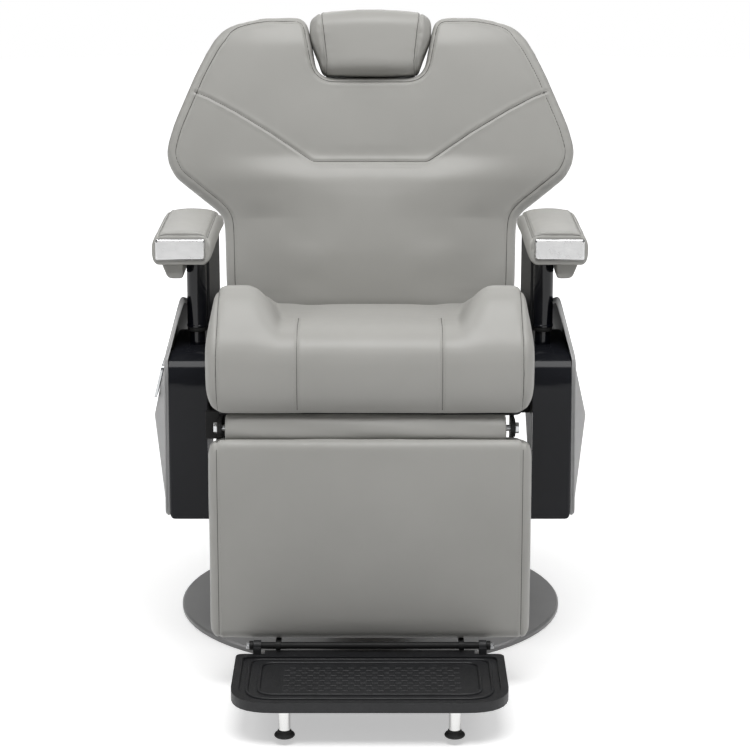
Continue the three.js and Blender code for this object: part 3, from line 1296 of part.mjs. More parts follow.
const back = groupAt(seat, 0, BACK_PIVOT_Y, BACK_PIVOT_Z);
back.rotation.x = -THREE.MathUtils.degToRad(BACK_TILT_DEG);
add(back, 'back_frame', backFrame(), BLACK_PAINT);
add(back, 'back_board', backBoard(), WOOD);
add(back, 'back_cushion', backCushion(), LEATHER);
add(back, 'back_rear_panel', rearPanel(), LEATHER);
add(back, 'headrest_guide', headrestGuide(), BLACK_PAINT);

const headrest = groupAt(back, 0, 0, 0);
add(headrest, 'headrest_bar', headrestBar(), STEEL);
add(headrest, 'headrest_board', headrestBoard(), WOOD);
add(headrest, 'headrest_cushion', headrestCushion(), LEATHER);

const legrest = groupAt(seat, 0, KNEE_Y, KNEE_Z);
add(legrest, 'legrest_frame', legFrame(), BLACK_PAINT);
add(legrest, 'legrest_board', legBoard(), WOOD);
add(legrest, 'legrest_cushion', legCushion(), LEATHER);
add(legrest, 'knee_flap', kneeFlap(), LEATHER);
add(legrest, 'footrest_tube', footTube(), BLACK_PAINT);

const footrest = groupAt(legrest, 0, FOOT_HINGE[0], FOOT_HINGE[1]);
add(footrest, 'footrest_plate', footPlate(), TEXTURED_PLASTIC);
addPair(footrest, 'footrest_post', footPost(), CHROME);
addPair(footrest, 'footrest_glide', footGlide(), RUBBER);

export default chair;
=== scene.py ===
"""The looks of a hydraulic barber chair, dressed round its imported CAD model.

Metres, +Z up, the chair faces -Y. Shapes are written in millimetres, and scaled where a mesh is written.
"""

import json
import math

import bmesh
import bpy
import numpy as np
from mathutils import Matrix, Vector
from mathutils.bvhtree import BVHTree


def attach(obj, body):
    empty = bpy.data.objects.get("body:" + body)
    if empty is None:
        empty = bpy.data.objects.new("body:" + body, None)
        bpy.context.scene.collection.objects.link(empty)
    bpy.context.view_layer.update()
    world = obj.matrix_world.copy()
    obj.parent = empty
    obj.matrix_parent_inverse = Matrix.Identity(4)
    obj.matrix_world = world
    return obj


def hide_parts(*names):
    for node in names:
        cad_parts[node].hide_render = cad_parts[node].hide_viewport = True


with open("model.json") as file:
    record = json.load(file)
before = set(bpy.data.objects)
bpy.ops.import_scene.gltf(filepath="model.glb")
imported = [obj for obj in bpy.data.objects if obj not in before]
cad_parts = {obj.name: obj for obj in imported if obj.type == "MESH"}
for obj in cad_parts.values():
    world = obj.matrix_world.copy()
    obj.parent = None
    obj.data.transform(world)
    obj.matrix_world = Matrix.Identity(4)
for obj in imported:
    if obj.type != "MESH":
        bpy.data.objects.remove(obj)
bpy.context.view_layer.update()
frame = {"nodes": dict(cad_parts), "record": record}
MM = 0.001

# ---- places that the CAD model fixes
BACK_PIVOT = Vector((0, 110, 440))
BACK_TILT = math.radians(12)
KNEE = Vector((0, -405, 424))
FOOT_HINGE = Vector((0, -450, 82))
TO_BACK = Matrix.Translation(BACK_PIVOT) @ Matrix.Rotation(-BACK_TILT, 4, "X")
TO_LEG = Matrix.Translation(KNEE)
TO_FOOT = Matrix.Translation(FOOT_HINGE)
TO_WORLD = Matrix.Identity(4)


# ---- small numeric helpers
def smooth(low, high, value):
    """An eased step from 0 at the low value to 1 at the high one."""
    t = np.clip((np.asarray(value, float) - low) / (high - low), 0, 1)
    return t * t * (3 - 2 * t)


def drawn_in(radius, distance):
    """How far a round edge of that radius has fallen back at a distance from its end."""
    d = np.clip(np.asarray(distance, float), 0, radius)
    return radius - np.sqrt(np.maximum(radius**2 - (radius - d) ** 2, 0))


def spline(points, count):
    """Points spread evenly along a Catmull-Rom curve through the given ones."""
    p = np.asarray(points, float)
    p = np.vstack([2 * p[0] - p[1], p, 2 * p[-1] - p[-2]])
    fine = []
    for i in range(1, len(p) - 2):
        for t in np.linspace(0, 1, 24, endpoint=False):
            a, b, c, d = p[i - 1 : i + 3]
            square = (2 * a - 5 * b + 4 * c - d) * t**2
            cube = (3 * b - a - 3 * c + d) * t**3
            fine.append(0.5 * (2 * b + (c - a) * t + square + cube))
    fine.append(p[-2])
    return resample(fine, count)


def resample(points, count, closed=False):
    """Points spread evenly along a polyline."""
    p = np.asarray(points, float)
    if closed:
        p = np.vstack([p, p[:1]])
    steps = np.linalg.norm(np.diff(p, axis=0), axis=1)
    place = np.concatenate([[0], np.cumsum(steps)])
    wanted = np.linspace(0, place[-1], count, endpoint=not closed)
    return np.stack([np.interp(wanted, place, p[:, k]) for k in range(p.shape[1])], axis=1)


def distance_to(path, points):
    """The distance from each point to a polyline, in as many dimensions as both have."""
    path = np.asarray(path, float)
    best = np.full(len(points), 1e9)
    for a, b in zip(path[:-1], path[1:]):
        run = b - a
        t = np.clip((points - a) @ run / max(run @ run, 1e-12), 0, 1)
        best = np.minimum(best, np.linalg.norm(points - (a + t[:, None] * run), axis=1))
    return best


def line_distance(p, x):
    """How far points are from the pair of lines at that x, left and right."""
    return np.abs(np.abs(p[:, 0]) - x)


def ripple(points, scale, seed):
    """A smooth, repeatable unevenness between -1 and 1, made of a few slanted waves."""
    rng = np.random.default_rng(seed)
    total = np.zeros(len(points))
    for _ in range(7):
        direction = rng.normal(size=3)
        direction *= rng.uniform(0.6, 1.6) / (np.linalg.norm(direction) * scale)
        total += np.sin(2 * math.pi * (points @ direction) + rng.uniform(0, 6.28))
    return total / 5


def moved_by(matrix, points):
    """Points taken through a 4 x 4 matrix."""
    return (np.c_[points, np.ones(len(points))] @ np.array(matrix).T)[:, :3]


def closed_sides(path):
    """The unit normals of a closed 2-D path, each to the right of the path's run."""
    run = np.roll(path, -1, axis=0) - np.roll(path, 1, axis=0)
    run /= np.maximum(np.linalg.norm(run, axis=1), 1e-9)[:, None]
    return np.stack([run[:, 1], -run[:, 0]], axis=1)


def full_turn(count):
    return np.linspace(0, 2 * math.pi, count, endpoint=False)


# ---- mesh helpers
def link_object(obj):
    bpy.context.scene.collection.objects.link(obj)


def new_object(name, verts, faces, material, to=TO_WORLD, shade_smooth=True):
    mesh = bpy.data.meshes.new(name)
    points = moved_by(to, np.asarray(verts, float))
    mesh.from_pydata((points * MM).tolist(), [], faces)
    mesh.validate()
    obj = bpy.data.objects.new(name, mesh)
    link_object(obj)
    if material is not None:
        mesh.materials.append(material)
    fix_normals(obj)
    mesh.polygons.foreach_set("use_smooth", [shade_smooth] * len(mesh.polygons))
    return obj


def fix_normals(obj):
    bm = bmesh.new()
    bm.from_mesh(obj.data)
    bmesh.ops.recalc_face_normals(bm, faces=bm.faces)
    bm.to_mesh(obj.data)
    bm.free()


def loft(rings, closed_ends=True):
    """Vertices and faces of a skin over rings that have as many points as each other."""
    rings = np.asarray(rings, float)
    count, around = rings.shape[:2]
    verts = rings.reshape(-1, 3)
    faces = []
    for i in range(count - 1):
        for j in range(around):
            k = (j + 1) % around
            faces.append((i * around + j, i * around + k, (i + 1) * around + k, (i + 1) * around + j))
    if closed_ends:
        faces.append(tuple(range(around)))
        faces.append(tuple(reversed(range((count - 1) * around, count * around))))
    return verts, faces


def apply_modifiers(obj):
    depsgraph = bpy.context.evaluated_depsgraph_get()
    mesh = bpy.data.meshes.new_from_object(obj.evaluated_get(depsgraph))
    old = obj.data
    obj.modifiers.clear()
    obj.data = mesh
    bpy.data.meshes.remove(old)
    return obj


def points_of(obj):
    co = np.zeros(len(obj.data.vertices) * 3)
    obj.data.vertices.foreach_get("co", co)
    return co.reshape(-1, 3) / MM


def normals_of(obj):
    no = np.zeros(len(obj.data.vertices) * 3)
    obj.data.vertex_normals.foreach_get("vector", no)
    return no.reshape(-1, 3)


def set_points(obj, points):
    obj.data.vertices.foreach_set("co", (np.asarray(points) * MM).ravel())
    obj.data.update()


def local_points(obj, to):
    return moved_by(to.inverted(), points_of(obj))


def set_local_points(obj, points, to):
    set_points(obj, moved_by(to, points))


# ---- materials
class Finish:
    """A node material with the few chains that the finishes share."""

    def __init__(self, name, roughness, metallic=0.0):
        self.material = bpy.data.materials.new(name)
        self.material.use_nodes = True
        self.tree = self.material.node_tree
        self.nodes = self.tree.nodes
        self.bsdf = self.nodes["Principled BSDF"]
        self.bsdf.inputs["Roughness"].default_value = roughness
        self.bsdf.inputs["Metallic"].default_value = metallic
        self.coords = self.node("TexCoord").outputs["Object"]
        self.normal = None

    def link(self, a, b):
        self.tree.links.new(a, b)

    def node(self, kind, **sockets):
        """A new shader node, with the values of sockets whose names are written with underscores."""
        node = self.nodes.new("ShaderNode" + kind)
        for name, value in sockets.items():
            node.inputs[name.replace("_", " ")].default_value = value
        return node

    def noise(self, scale, detail=3.0, rough=0.5, stretch=None):
        node = self.node("TexNoise", Scale=scale, Detail=detail, Roughness=rough)
        source = self.coords
        if stretch:
            mapping = self.node("Mapping", Scale=stretch)
            self.link(source, mapping.inputs["Vector"])
            source = mapping.outputs["Vector"]
        self.link(source, node.inputs["Vector"])
        return node.outputs["Fac"]

    def cells(self, scale, feature="DISTANCE_TO_EDGE"):
        node = self.node("TexVoronoi", Scale=scale)
        node.feature = feature
        self.link(self.coords, node.inputs["Vector"])
        return node.outputs["Distance"]

    def colour(self, value, low, high):
        ramp = self.node("ValToRGB")
        for element, place, tone in zip(ramp.color_ramp.elements, (0.3, 0.7), (low, high)):
            element.position = place
            element.color = (*tone, 1)
        self.link(value, ramp.inputs["Fac"])
        self.link(ramp.outputs["Color"], self.bsdf.inputs["Base Color"])

    def roughness(self, value, low, high):
        node = self.node("MapRange", To_Min=low, To_Max=high)
        self.link(value, node.inputs["Value"])
        self.link(node.outputs["Result"], self.bsdf.inputs["Roughness"])

    def bump(self, value, strength, distance):
        node = self.node("Bump", Strength=strength, Distance=distance)
        self.link(value, node.inputs["Height"])
        if self.normal is not None:
            self.link(self.normal, node.inputs["Normal"])
        self.normal = node.outputs["Normal"]
        self.link(self.normal, self.bsdf.inputs["Normal"])


def grey(level, warm=0.0):
    """A linear colour from an sRGB level of 0 to 255, a little warm or cool."""

    def linear(v):
        v = min(max(v / 255, 0), 1)
        return v / 12.92 if v <= 0.04045 else ((v + 0.055) / 1.055) ** 2.4

    return (linear(level + warm), linear(level + warm * 0.6), linear(level - warm))


def leather_finish():
    f = Finish("leatherette", 0.45)
    f.colour(f.noise(5.0, 4.0), grey(160, 2.5), grey(167, 2.5))
    f.roughness(f.noise(60.0, 3.0), 0.40, 0.50)
    f.bump(f.noise(14.0, 2.0), 0.25, 0.0012)
    f.bump(f.noise(90.0, 3.0), 0.12, 0.0004)
    f.bump(f.cells(750.0), 0.22, 0.00022)
    f.bsdf.inputs["Specular IOR Level"].default_value = 0.42
    return f.material


def thread_finish():
    f = Finish("thread", 0.7)
    f.colour(f.noise(400.0, 2.0), grey(150, 3), grey(172, 3))
    f.bump(f.noise(3000.0, 1.0, stretch=(1, 1, 3)), 0.4, 0.0002)
    f.bsdf.inputs["Sheen Weight"].default_value = 0.15
    return f.material


def paint_finish(name, low, high, roughness, peel, shine=0.5):
    f = Finish(name, roughness)
    f.colour(f.noise(9.0, 3.0), low, high)
    f.roughness(f.noise(35.0, 3.0), roughness * 0.85, roughness * 1.2)
    f.bump(f.noise(220.0, 2.0), peel, 0.0003)
    f.bsdf.inputs["Specular IOR Level"].default_value = shine
    return f.material


def grained_finish(name, low, high, roughness):
    f = Finish(name, roughness)
    f.colour(f.noise(40.0, 5.0), low, high)
    f.roughness(f.noise(150.0, 3.0), roughness * 0.85, roughness * 1.1)
    f.bump(f.cells(620.0, "F1"), 0.6, 0.0004)
    f.bump(f.noise(1500.0, 3.0), 0.35, 0.0002)
    return f.material


def metal_finish(name, low, high, roughness, brush=0.0):
    f = Finish(name, roughness, metallic=1.0)
    f.colour(f.noise(12.0, 3.0), low, high)
    f.roughness(f.noise(80.0, 3.0), roughness * 0.7, roughness * 1.4)
    if brush:
        f.bump(f.noise(250.0, 2.0, stretch=(1, 1, 12)), brush, 0.0001)
    else:
        f.bump(f.noise(30.0, 2.0), 0.02, 0.0002)
    return f.material


def wood_finish(name, low, high):
    f = Finish(name, 0.7)
    f.colour(f.noise(30.0, 6.0, 0.6, stretch=(1, 14, 3)), low, high)
    f.bump(f.noise(160.0, 4.0, stretch=(1, 10, 2)), 0.3, 0.0004)
    return f.material


LEATHER = leather_finish()
THREAD = thread_finish()
# Painted seam shade: a dark grey for the thin cords sunk in the seams, standing in for the shade inside each
# seam's fold.
PAINTED_SEAM_SHADE = paint_finish("painted_seam_shade", grey(84, 2), grey(94, 2), 0.7, 0.1, 0.2)
BLACK_PAINT = paint_finish("black_powder_coat", grey(24), grey(30), 0.55, 0.2, 0.3)
GLOSS_BLACK = paint_finish("gloss_black_enamel", grey(14, -4), grey(18, -4), 0.12, 0.02, 0.35)
HOUSING = paint_finish("gloss_black_plastic", grey(27, -2.5), grey(32, -2.5), 0.12, 0.02, 0.16)
BASE_PAINT = paint_finish("base_enamel", grey(128), grey(134), 0.30, 0.06)
GREY_PLASTIC = paint_finish("light_grey_plastic", grey(174), grey(180), 0.45, 0.04, 0.12)
CORE_PLASTIC = paint_finish("dark_core_plastic", grey(52, 2), grey(58, 2), 0.6, 0.10)
CHROME = metal_finish("chrome_plate", (0.64, 0.64, 0.63), (0.72, 0.72, 0.71), 0.14)
PLATE_CHROME = metal_finish("satin_chrome", (0.54, 0.54, 0.54), (0.58, 0.58, 0.58), 0.24)
STEEL = metal_finish("zinc_steel", (0.50, 0.51, 0.52), (0.60, 0.61, 0.62), 0.28, 0.5)
GRAINED = grained_finish("grained_black_plastic", grey(22, -1.5), grey(29, -1.5), 0.52)
RUBBER = grained_finish("black_rubber", grey(24), grey(30), 0.75)
WOOD = wood_finish("plywood", (0.36, 0.22, 0.10), (0.55, 0.38, 0.20))
BLACK_WOOD = wood_finish("black_plywood", grey(22), grey(32))

CAD_FINISH = {
    "leather": LEATHER,
    "black_paint": BLACK_PAINT,
    "gloss_black": GLOSS_BLACK,
    "housing_plastic": HOUSING,
    "base_paint": BASE_PAINT,
    "chrome": CHROME,
    "steel": STEEL,
    "grey_plastic": GREY_PLASTIC,
    "textured_plastic": GRAINED,
    "rubber": RUBBER,
    "wood": WOOD,
    "black_wood": BLACK_WOOD,
}
SLOT_OF = {s["node"]: s["material_slot"] for s in frame["record"]["subparts"]}
BODY_OF = {n: b for b, names in frame["record"]["behaviour"]["bodies"].items() for n in names}
FLAT_DEGREES = 0.6


# ---- hard pieces: the CAD form with its edges eased
def cad_copy(node, name, material):
    """A copy of a CAD piece's mesh as an object of its own."""
    obj = bpy.data.objects.new(name, frame["nodes"][node].data.copy())
    link_object(obj)
    obj.data.materials.clear()
    obj.data.materials.append(material)
    return obj


def shade_smooth_all(obj):
    obj.data.polygons.foreach_set("use_smooth", [True] * len(obj.data.polygons))


def eased(node, width=0.8, angle=30, finish=None):
    """A copy of a CAD piece with small rounds along its edges, shown in its place."""
    obj = cad_copy(node, node + "_eased", finish or CAD_FINISH[SLOT_OF[node]])
    bm = bmesh.new()
    bm.from_mesh(obj.data)
    bmesh.ops.remove_doubles(bm, verts=bm.verts, dist=1e-6)
    bmesh.ops.dissolve_limit(bm, angle_limit=math.radians(FLAT_DEGREES), verts=bm.verts, edges=bm.edges)
    bm.to_mesh(obj.data)
    bm.free()
    bevel = obj.modifiers.new("edges", "BEVEL")
    bevel.width = width * MM
    bevel.segments = 2
    bevel.limit_method = "ANGLE"
    bevel.angle_limit = math.radians(angle)
    bevel.use_clamp_overlap = True
    weighted = obj.modifiers.new("shading", "WEIGHTED_NORMAL")
    weighted.keep_sharp = True
    shade_smooth_all(obj)
    apply_modifiers(obj)
    return finish_piece(obj, BODY_OF[node], SLOT_OF[node], node)


def finish_piece(obj, body, slot, *nodes):
    """Sets which body carries a piece and hides the CAD nodes that it stands for; the slot argument is not
    used.
    """
    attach(obj, body)
    if nodes:
        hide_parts(*nodes)
    return obj


# ---- soft pieces: shared steps
def remeshed(obj, voxel):
    obj.data.remesh_voxel_size = voxel * MM
    mod = obj.modifiers.new("remesh", "REMESH")
    mod.mode = "VOXEL"
    mod.voxel_size = voxel * MM
    mod.use_smooth_shade = True
    return apply_modifiers(obj)


def relaxed(obj, factor, repeat):
    mod = obj.modifiers.new("relax", "SMOOTH")
    mod.factor = factor
    mod.iterations = repeat
    return apply_modifiers(obj)


def swollen(obj, distance):
    """Moves the surface outward, for what remeshing and relaxing took from it."""
    set_points(obj, points_of(obj) + normals_of(obj) * distance)
    return obj


def divided(obj):
    mod = obj.modifiers.new("divide", "SUBSURF")
    mod.levels = 1
    mod.render_levels = 1
    return apply_modifiers(obj)


def evened(obj, values, rounds):
    """Values at the points, each averaged with its neighbours' a number of times."""
    edges = np.array([tuple(edge.vertices) for edge in obj.data.edges])
    count = np.bincount(edges.ravel(), minlength=len(values))[:, None]
    for _ in range(rounds):
        total = np.zeros_like(values)
        np.add.at(total, edges[:, 0], values[edges[:, 1]])
        np.add.at(total, edges[:, 1], values[edges[:, 0]])
        values = (values + total / count) / 2
    return values


CLOTH = {
    "quality": 5, "mass": 0.3, "tension_stiffness": 12, "compression_stiffness": 12, "shear_stiffness": 6,
    "bending_stiffness": 1.5, "use_pressure": True, "vertex_group_mass": "held",
}
CLOTH_FRAMES = 16
EVENING_ROUNDS = 36


def inflated(obj, held, pressure, cap):
    """Cloth under pressure from inside: the held points stay and the rest swells, by the cap at most."""
    start = points_of(obj)
    group = obj.vertex_groups.new(name="held")
    group.add([int(i) for i in np.nonzero(held)[0]], 1.0, "REPLACE")
    mod = obj.modifiers.new("cloth", "CLOTH")
    for setting, value in CLOTH.items():
        setattr(mod.settings, setting, value)
    mod.settings.uniform_pressure_force = pressure
    mod.settings.effector_weights.gravity = 0
    mod.collision_settings.use_collision = False
    mod.point_cache.frame_start = 1
    mod.point_cache.frame_end = CLOTH_FRAMES
    scene = bpy.context.scene
    for number in range(1, CLOTH_FRAMES + 1):
        scene.frame_set(number)
    apply_modifiers(obj)
    scene.frame_set(1)
    obj.vertex_groups.clear()
    move = evened(obj, points_of(obj) - start, EVENING_ROUNDS)
    length = np.linalg.norm(move, axis=1)
    limit = cap * np.tanh(length / cap) / np.maximum(length, 1e-9)
    set_points(obj, start + move * limit[:, None])
    return obj


def crease(obj, distance, width, depth):
    """Sinks the surface along a seam, with the leather standing a little proud beside it."""
    normals = normals_of(obj)
    sink = depth * np.exp(-((distance / width) ** 2))
    proud = 0.2 * depth * np.exp(-(((distance - 3.2 * width) / (1.8 * width)) ** 2))
    set_points(obj, points_of(obj) - normals * (sink - proud)[:, None])


def surface_tree(obj):
    return BVHTree.FromPolygons(
        [Vector(p) for p in points_of(obj)], [tuple(p.vertices) for p in obj.data.polygons]
    )


def cast_path(tree, path, direction, to=TO_WORLD):
    """Where rays from the path's points, shot along a direction, meet the surface: [(point, normal)]."""
    found = []
    run = (to.to_3x3() @ Vector(direction)).normalized()
    for p in path:
        origin = to @ Vector(p)
        hit = tree.ray_cast(origin, run, 2000)
        if hit[0] is not None:
            found.append((hit[0], hit[1]))
    return found


def nearest_path(tree, path, to=TO_WORLD):
    """The surface points nearest to a path's points: [(point, normal)]."""
    return [tree.find_nearest(to @ Vector(p))[:2] for p in path]


THREAD_RADIUS = 0.42
THREAD_SHAPE = [(-0.5, 0.55), (0.10, 1.0), (0.10, 1.0), (-0.5, 0.55)]


def stitches(name, rows, body, pitch=4.6, length=3.0):
    """Short threads along rows of (point, normal) pairs, each one dipping in at its two ends."""
    verts, faces = [], []
    for row in rows:
        if len(row) < 2:
            continue
        points = np.array([p for p, _ in row])
        normals = np.array([n for _, n in row])
        steps = np.linalg.norm(np.diff(points, axis=0), axis=1)
        keep = np.concatenate([[True], steps < 25])
        place = np.concatenate([[0], np.cumsum(steps)])
        for start in np.arange(pitch / 2, place[-1] - length, pitch):
            if not keep[min(np.searchsorted(place, start + length), len(keep) - 1)]:
                continue
            at = np.linspace(start, start + length, len(THREAD_SHAPE))
            centre = np.stack([np.interp(at, place, points[:, k]) for k in range(3)], axis=1)
            normal = np.stack([np.interp(at, place, normals[:, k]) for k in range(3)], axis=1)
            add_thread(verts, faces, centre, normal)
    obj = new_object(name, verts, faces, THREAD)
    return finish_piece(obj, body, "leather")


def add_thread(verts, faces, centre, normal):
    """One stitch: a four-sided tube through four points."""
    normal /= np.linalg.norm(normal, axis=1)[:, None]
    run = centre[-1] - centre[0]
    run /= max(np.linalg.norm(run), 1e-9)
    side = np.cross(normal, run)
    first = len(verts)
    for k, (dip, size) in enumerate(THREAD_SHAPE):
        middle = centre[k] + normal[k] * dip
        for angle in (0.5, 1.57, 2.64, 4.71):
            across = side[k] * math.cos(angle) + normal[k] * math.sin(angle)
            verts.append(middle + THREAD_RADIUS * size * across)
    for k in range(3):
        for j in range(4):
            a, b = first + k * 4 + j, first + k * 4 + (j + 1) % 4
            faces.append((a, b, b + 4, a + 4))
    faces.append((first + 3, first + 2, first + 1, first))
    faces.append((first + 12, first + 13, first + 14, first + 15))


def seam_shade_cord(name, rows, body, radius=0.65, sink=0.15):
    """Painted seam shade: a thin dark cord sunk in the crease, standing in for the shade inside a seam's
    fold, along rows of (point, normal) pairs.
    """
    angles = full_turn(6)
    verts, faces = [], []
    for row in rows:
        points = np.array([p for p, _ in row])
        normals = np.array([n for _, n in row])
        for _ in range(8):
            points[1:-1] = (points[:-2] + 2 * points[1:-1] + points[2:]) / 4
        run = np.gradient(points, axis=0)
        run /= np.maximum(np.linalg.norm(run, axis=1), 1e-9)[:, None]
        side = np.cross(normals, run)
        first = len(verts)
        for p, n, s in zip(points, normals, side):
            verts.extend(p - n * sink + radius * (s * math.cos(a) + n * math.sin(a)) for a in angles)
        for i, step in enumerate(np.linalg.norm(np.diff(points, axis=0), axis=1)):
            if step < 16:
                for j in range(6):
                    a, b = first + 6 * i + j, first + 6 * i + (j + 1) % 6
                    faces.append((a, b, b + 6, a + 6))
    obj = new_object(name, verts, faces, PAINTED_SEAM_SHADE)
    return finish_piece(obj, body, "leather")


def offset_path(path, distance):
    """A 2-D path moved sideways."""
    p = np.asarray(path, float)
    run = np.gradient(p, axis=0)
    run /= np.maximum(np.linalg.norm(run, axis=1), 1e-9)[:, None]
    return p + distance * np.stack([-run[:, 1], run[:, 0]], axis=1)


# ---- seat cushion
FAR = 99.0
SEAT = {"half": 252, "bottom": 452, "rear": 70, "front": -443, "rear_top": 512, "crest_y": -345, "crest": 582}
BOLSTER = {"foot": 141, "width": 50, "front": 637, "rear": 540}
SEAT_NOSE = [
    (0.1, 452, 452), (0.4, 452, 452), (0.72, 452, 452), (0.86, 457, 457), (0.945, 469, 469), (0.99, 487, 487),
    (1, 510, 510), (0.975, 537, 539), (0.9, 557, 561), (0.78, 570, 579), (0.6, 578, 603), (0.38, 582, 625),
    (0.1, 582, 637),
]
SEAT_SEAM_X = 112
SEAT_WELT_X = 237
SECTION_COUNTS = {"bottom": 34, "nose": 110, "top": 100, "rear": 24}


def seat_section(x):
    """The seat's outline at one x: (y, z) points along its underside, nose, top and rear."""

    def bolster(t):
        """The bolster's share of the height at a depth of 0 (rear) to 1 (crest)."""
        share = np.clip((abs(x) - BOLSTER["foot"] - 26 * (1 - t)) / BOLSTER["width"], 0, 1)
        return 1 - (1 - share) ** 2

    def top(y):
        t = np.clip((SEAT["rear"] - y) / (SEAT["rear"] - SEAT["crest_y"]), 0, 1)
        pan = SEAT["rear_top"] + (SEAT["crest"] - SEAT["rear_top"]) * (1 - (1 - t) ** 1.7)
        pan = pan - 44 * t**2 * (1 - t) ** 1.2 * smooth(70, 140, abs(x))
        high = BOLSTER["rear"] + (BOLSTER["front"] - BOLSTER["rear"]) * t**1.1
        return pan + bolster(t) * (high - pan)

    reach = SEAT["crest_y"] - SEAT["front"]
    side = bolster(1.0)
    nose = [(SEAT["crest_y"] - out * reach, low + side * (high - low)) for out, low, high in SEAT_NOSE]
    counts = SECTION_COUNTS
    front = spline(nose, counts["nose"])
    bottom_y = np.linspace(SEAT["rear"] - 6, SEAT["crest_y"] + 2, counts["bottom"])
    bottom = np.stack([bottom_y, np.full(counts["bottom"], SEAT["bottom"])], axis=1)
    top_y = np.linspace(SEAT["crest_y"] + 2, SEAT["rear"] - 12, counts["top"])
    upper = np.stack([top_y, top(top_y)], axis=1)
    end = float(top(SEAT["rear"]))
    corner = [(SEAT["rear"] - 9, end), (SEAT["rear"] - 2, end - 3), (SEAT["rear"], end - 12)]
    rear = spline([*corner, (SEAT["rear"], SEAT["bottom"] + 4)], counts["rear"])
    return np.vstack([bottom, front, upper, rear])


def seam_path(x, skipped):
    """A seam's way over the seat at one x: to the crest, or to the rear for the welt."""
    end = SECTION_COUNTS["bottom"] + SECTION_COUNTS["nose"]
    end += 92 if abs(x) > BOLSTER["foot"] else 4
    start = SECTION_COUNTS["bottom"] + skipped
    return [(x, y, z) for y, z in seat_section(x)[start:end]]


def inset_ring(ring, distance):
    return ring + distance * closed_sides(ring)


def seat_cushion():
    edge = SEAT["half"] - 22 + 22 * np.sin(np.linspace(0, math.pi / 2, 12))
    right = np.concatenate([np.linspace(0, 232, 56)[:-1], edge])
    rings = []
    for x in np.concatenate([-right[:0:-1], right]):
        ring = inset_ring(seat_section(x), float(drawn_in(22, SEAT["half"] - abs(x) + 0.2)))
        rings.append(np.column_stack([np.full(len(ring), x), ring]))
    obj = new_object("seat_leather", *loft(rings), LEATHER)
    remeshed(obj, 4.2)
    relaxed(obj, 0.5, 6)
    swollen(obj, 1.3)
    taper_sides(obj)
    p = points_of(obj)
    seams = np.minimum(line_distance(p, SEAT_SEAM_X), line_distance(p, SEAT_WELT_X))
    upper = p[:, 2] > SEAT["bottom"] + 6
    inflated(obj, (seams < 3) | ~upper, 2.5, 6)
    divided(obj)
    crease_seat(obj)
    finish_piece(obj, "seat", "leather", "seat_cushion")
    seat_threads(surface_tree(obj))


def taper_sides(obj):
    """Draws the seat's sides in towards its foot and towards the top of the bolsters."""
    p = points_of(obj)
    low = np.clip(1 - (p[:, 2] - SEAT["bottom"]) / 46, 0, 1)
    high = smooth(545, 640, p[:, 2])
    p[:, 0] *= 1 - (0.030 * low**2 + 0.045 * high) * smooth(180, 250, np.abs(p[:, 0]))
    set_points(obj, p)


def crease_seat(obj):
    """Sinks the seat's two seams and two welts, with a little unevenness beside them."""
    p = points_of(obj)
    shown = smooth(SEAT["bottom"] + 2, SEAT["bottom"] + 12, p[:, 2]) > 0.5
    seam = line_distance(p, SEAT_SEAM_X)
    welt = line_distance(p, SEAT_WELT_X)
    near = np.exp(-((np.minimum(seam, welt) / 18) ** 2))
    lift = 0.5 * ripple(p, 34, 3) * near * 0.55 + 0.35 * ripple(p, 160, 5)
    set_points(obj, p + normals_of(obj) * lift[:, None])
    crease(obj, np.where(shown & (p[:, 1] < SEAT["crest_y"] + 12), seam, FAR), 1.7, 1.9)
    crease(obj, np.where(shown, welt, FAR), 1.7, 1.9)


def seat_threads(tree):
    rows = []
    for side in (-1, 1):
        for x in (SEAT_SEAM_X - 4.6, SEAT_SEAM_X + 4.6, SEAT_WELT_X - 5.0):
            rows.append(nearest_path(tree, seam_path(side * x, 2)))
    stitches("seat_topstitch", rows, "seat")
    seams = (-SEAT_WELT_X, -SEAT_SEAM_X, SEAT_SEAM_X, SEAT_WELT_X)
    # Thin dark cords of painted seam shade in the seams and welts.
    seam_shade_cord("seat_seam_shade", [nearest_path(tree, seam_path(x, 4)) for x in seams], "seat")


# ---- back cushion, drawn from its pivot
BACK_HALF = [
    (24, 246), (88, 248.5), (98, 253), (200, 255), (222, 257), (236, 269.5), (250, 287.5), (292, 340),
    (308, 349.5), (325, 355.5), (340, 356.5), (366, 350), (387, 343), (415, 331), (443, 318.5), (471, 306.5),
    (499, 292), (527, 276), (541, 264.5), (548, 257), (556, 242), (565, 208), (569, 182),
]
BACK_TOP, BACK_BOTTOM, BACK_REAR = 569, 24, 45
NOTCH = {"half": 96, "flare": 18, "bottom": 462, "corner": 30}
CHEVRON = [
    (-308, 441), (-283, 431), (-236, 406), (-175, 369), (-100, 318),
    (100, 318), (175, 369), (236, 406), (283, 431), (308, 441),
]
WELT_INSET = {"side": 15, "top": 5}


def back_half(z):
    """The back's half width at a height."""
    table = np.array(BACK_HALF)
    return np.interp(z, table[:, 0], table[:, 1])


def rounded(corners, steps=8):
    """A closed polygon whose corners (a, b, radius) are eased by a quadratic curve."""
    out = []
    count = len(corners)
    for i, (a, b, radius) in enumerate(corners):
        corner = np.array([a, b], float)
        before = np.array(corners[i - 1][:2], float) - corner
        after = np.array(corners[(i + 1) % count][:2], float) - corner
        if radius <= 0:
            out.append(corner)
            continue
        start = corner + before / np.linalg.norm(before) * radius
        end = corner + after / np.linalg.norm(after) * radius
        for t in np.linspace(0, 1, steps + 1):
            out.append((1 - t) ** 2 * start + 2 * t * (1 - t) * corner + t * t * end)
    return np.array(out)


def near_top(flat):
    """1 at the top edge of the back and along its notch, 0 elsewhere: there the edge is tighter."""
    x, z = np.abs(flat[:, 0]), flat[:, 1]
    return np.maximum(smooth(540, 562, z), smooth(436, 462, z) * (1 - smooth(124, 156, x)))


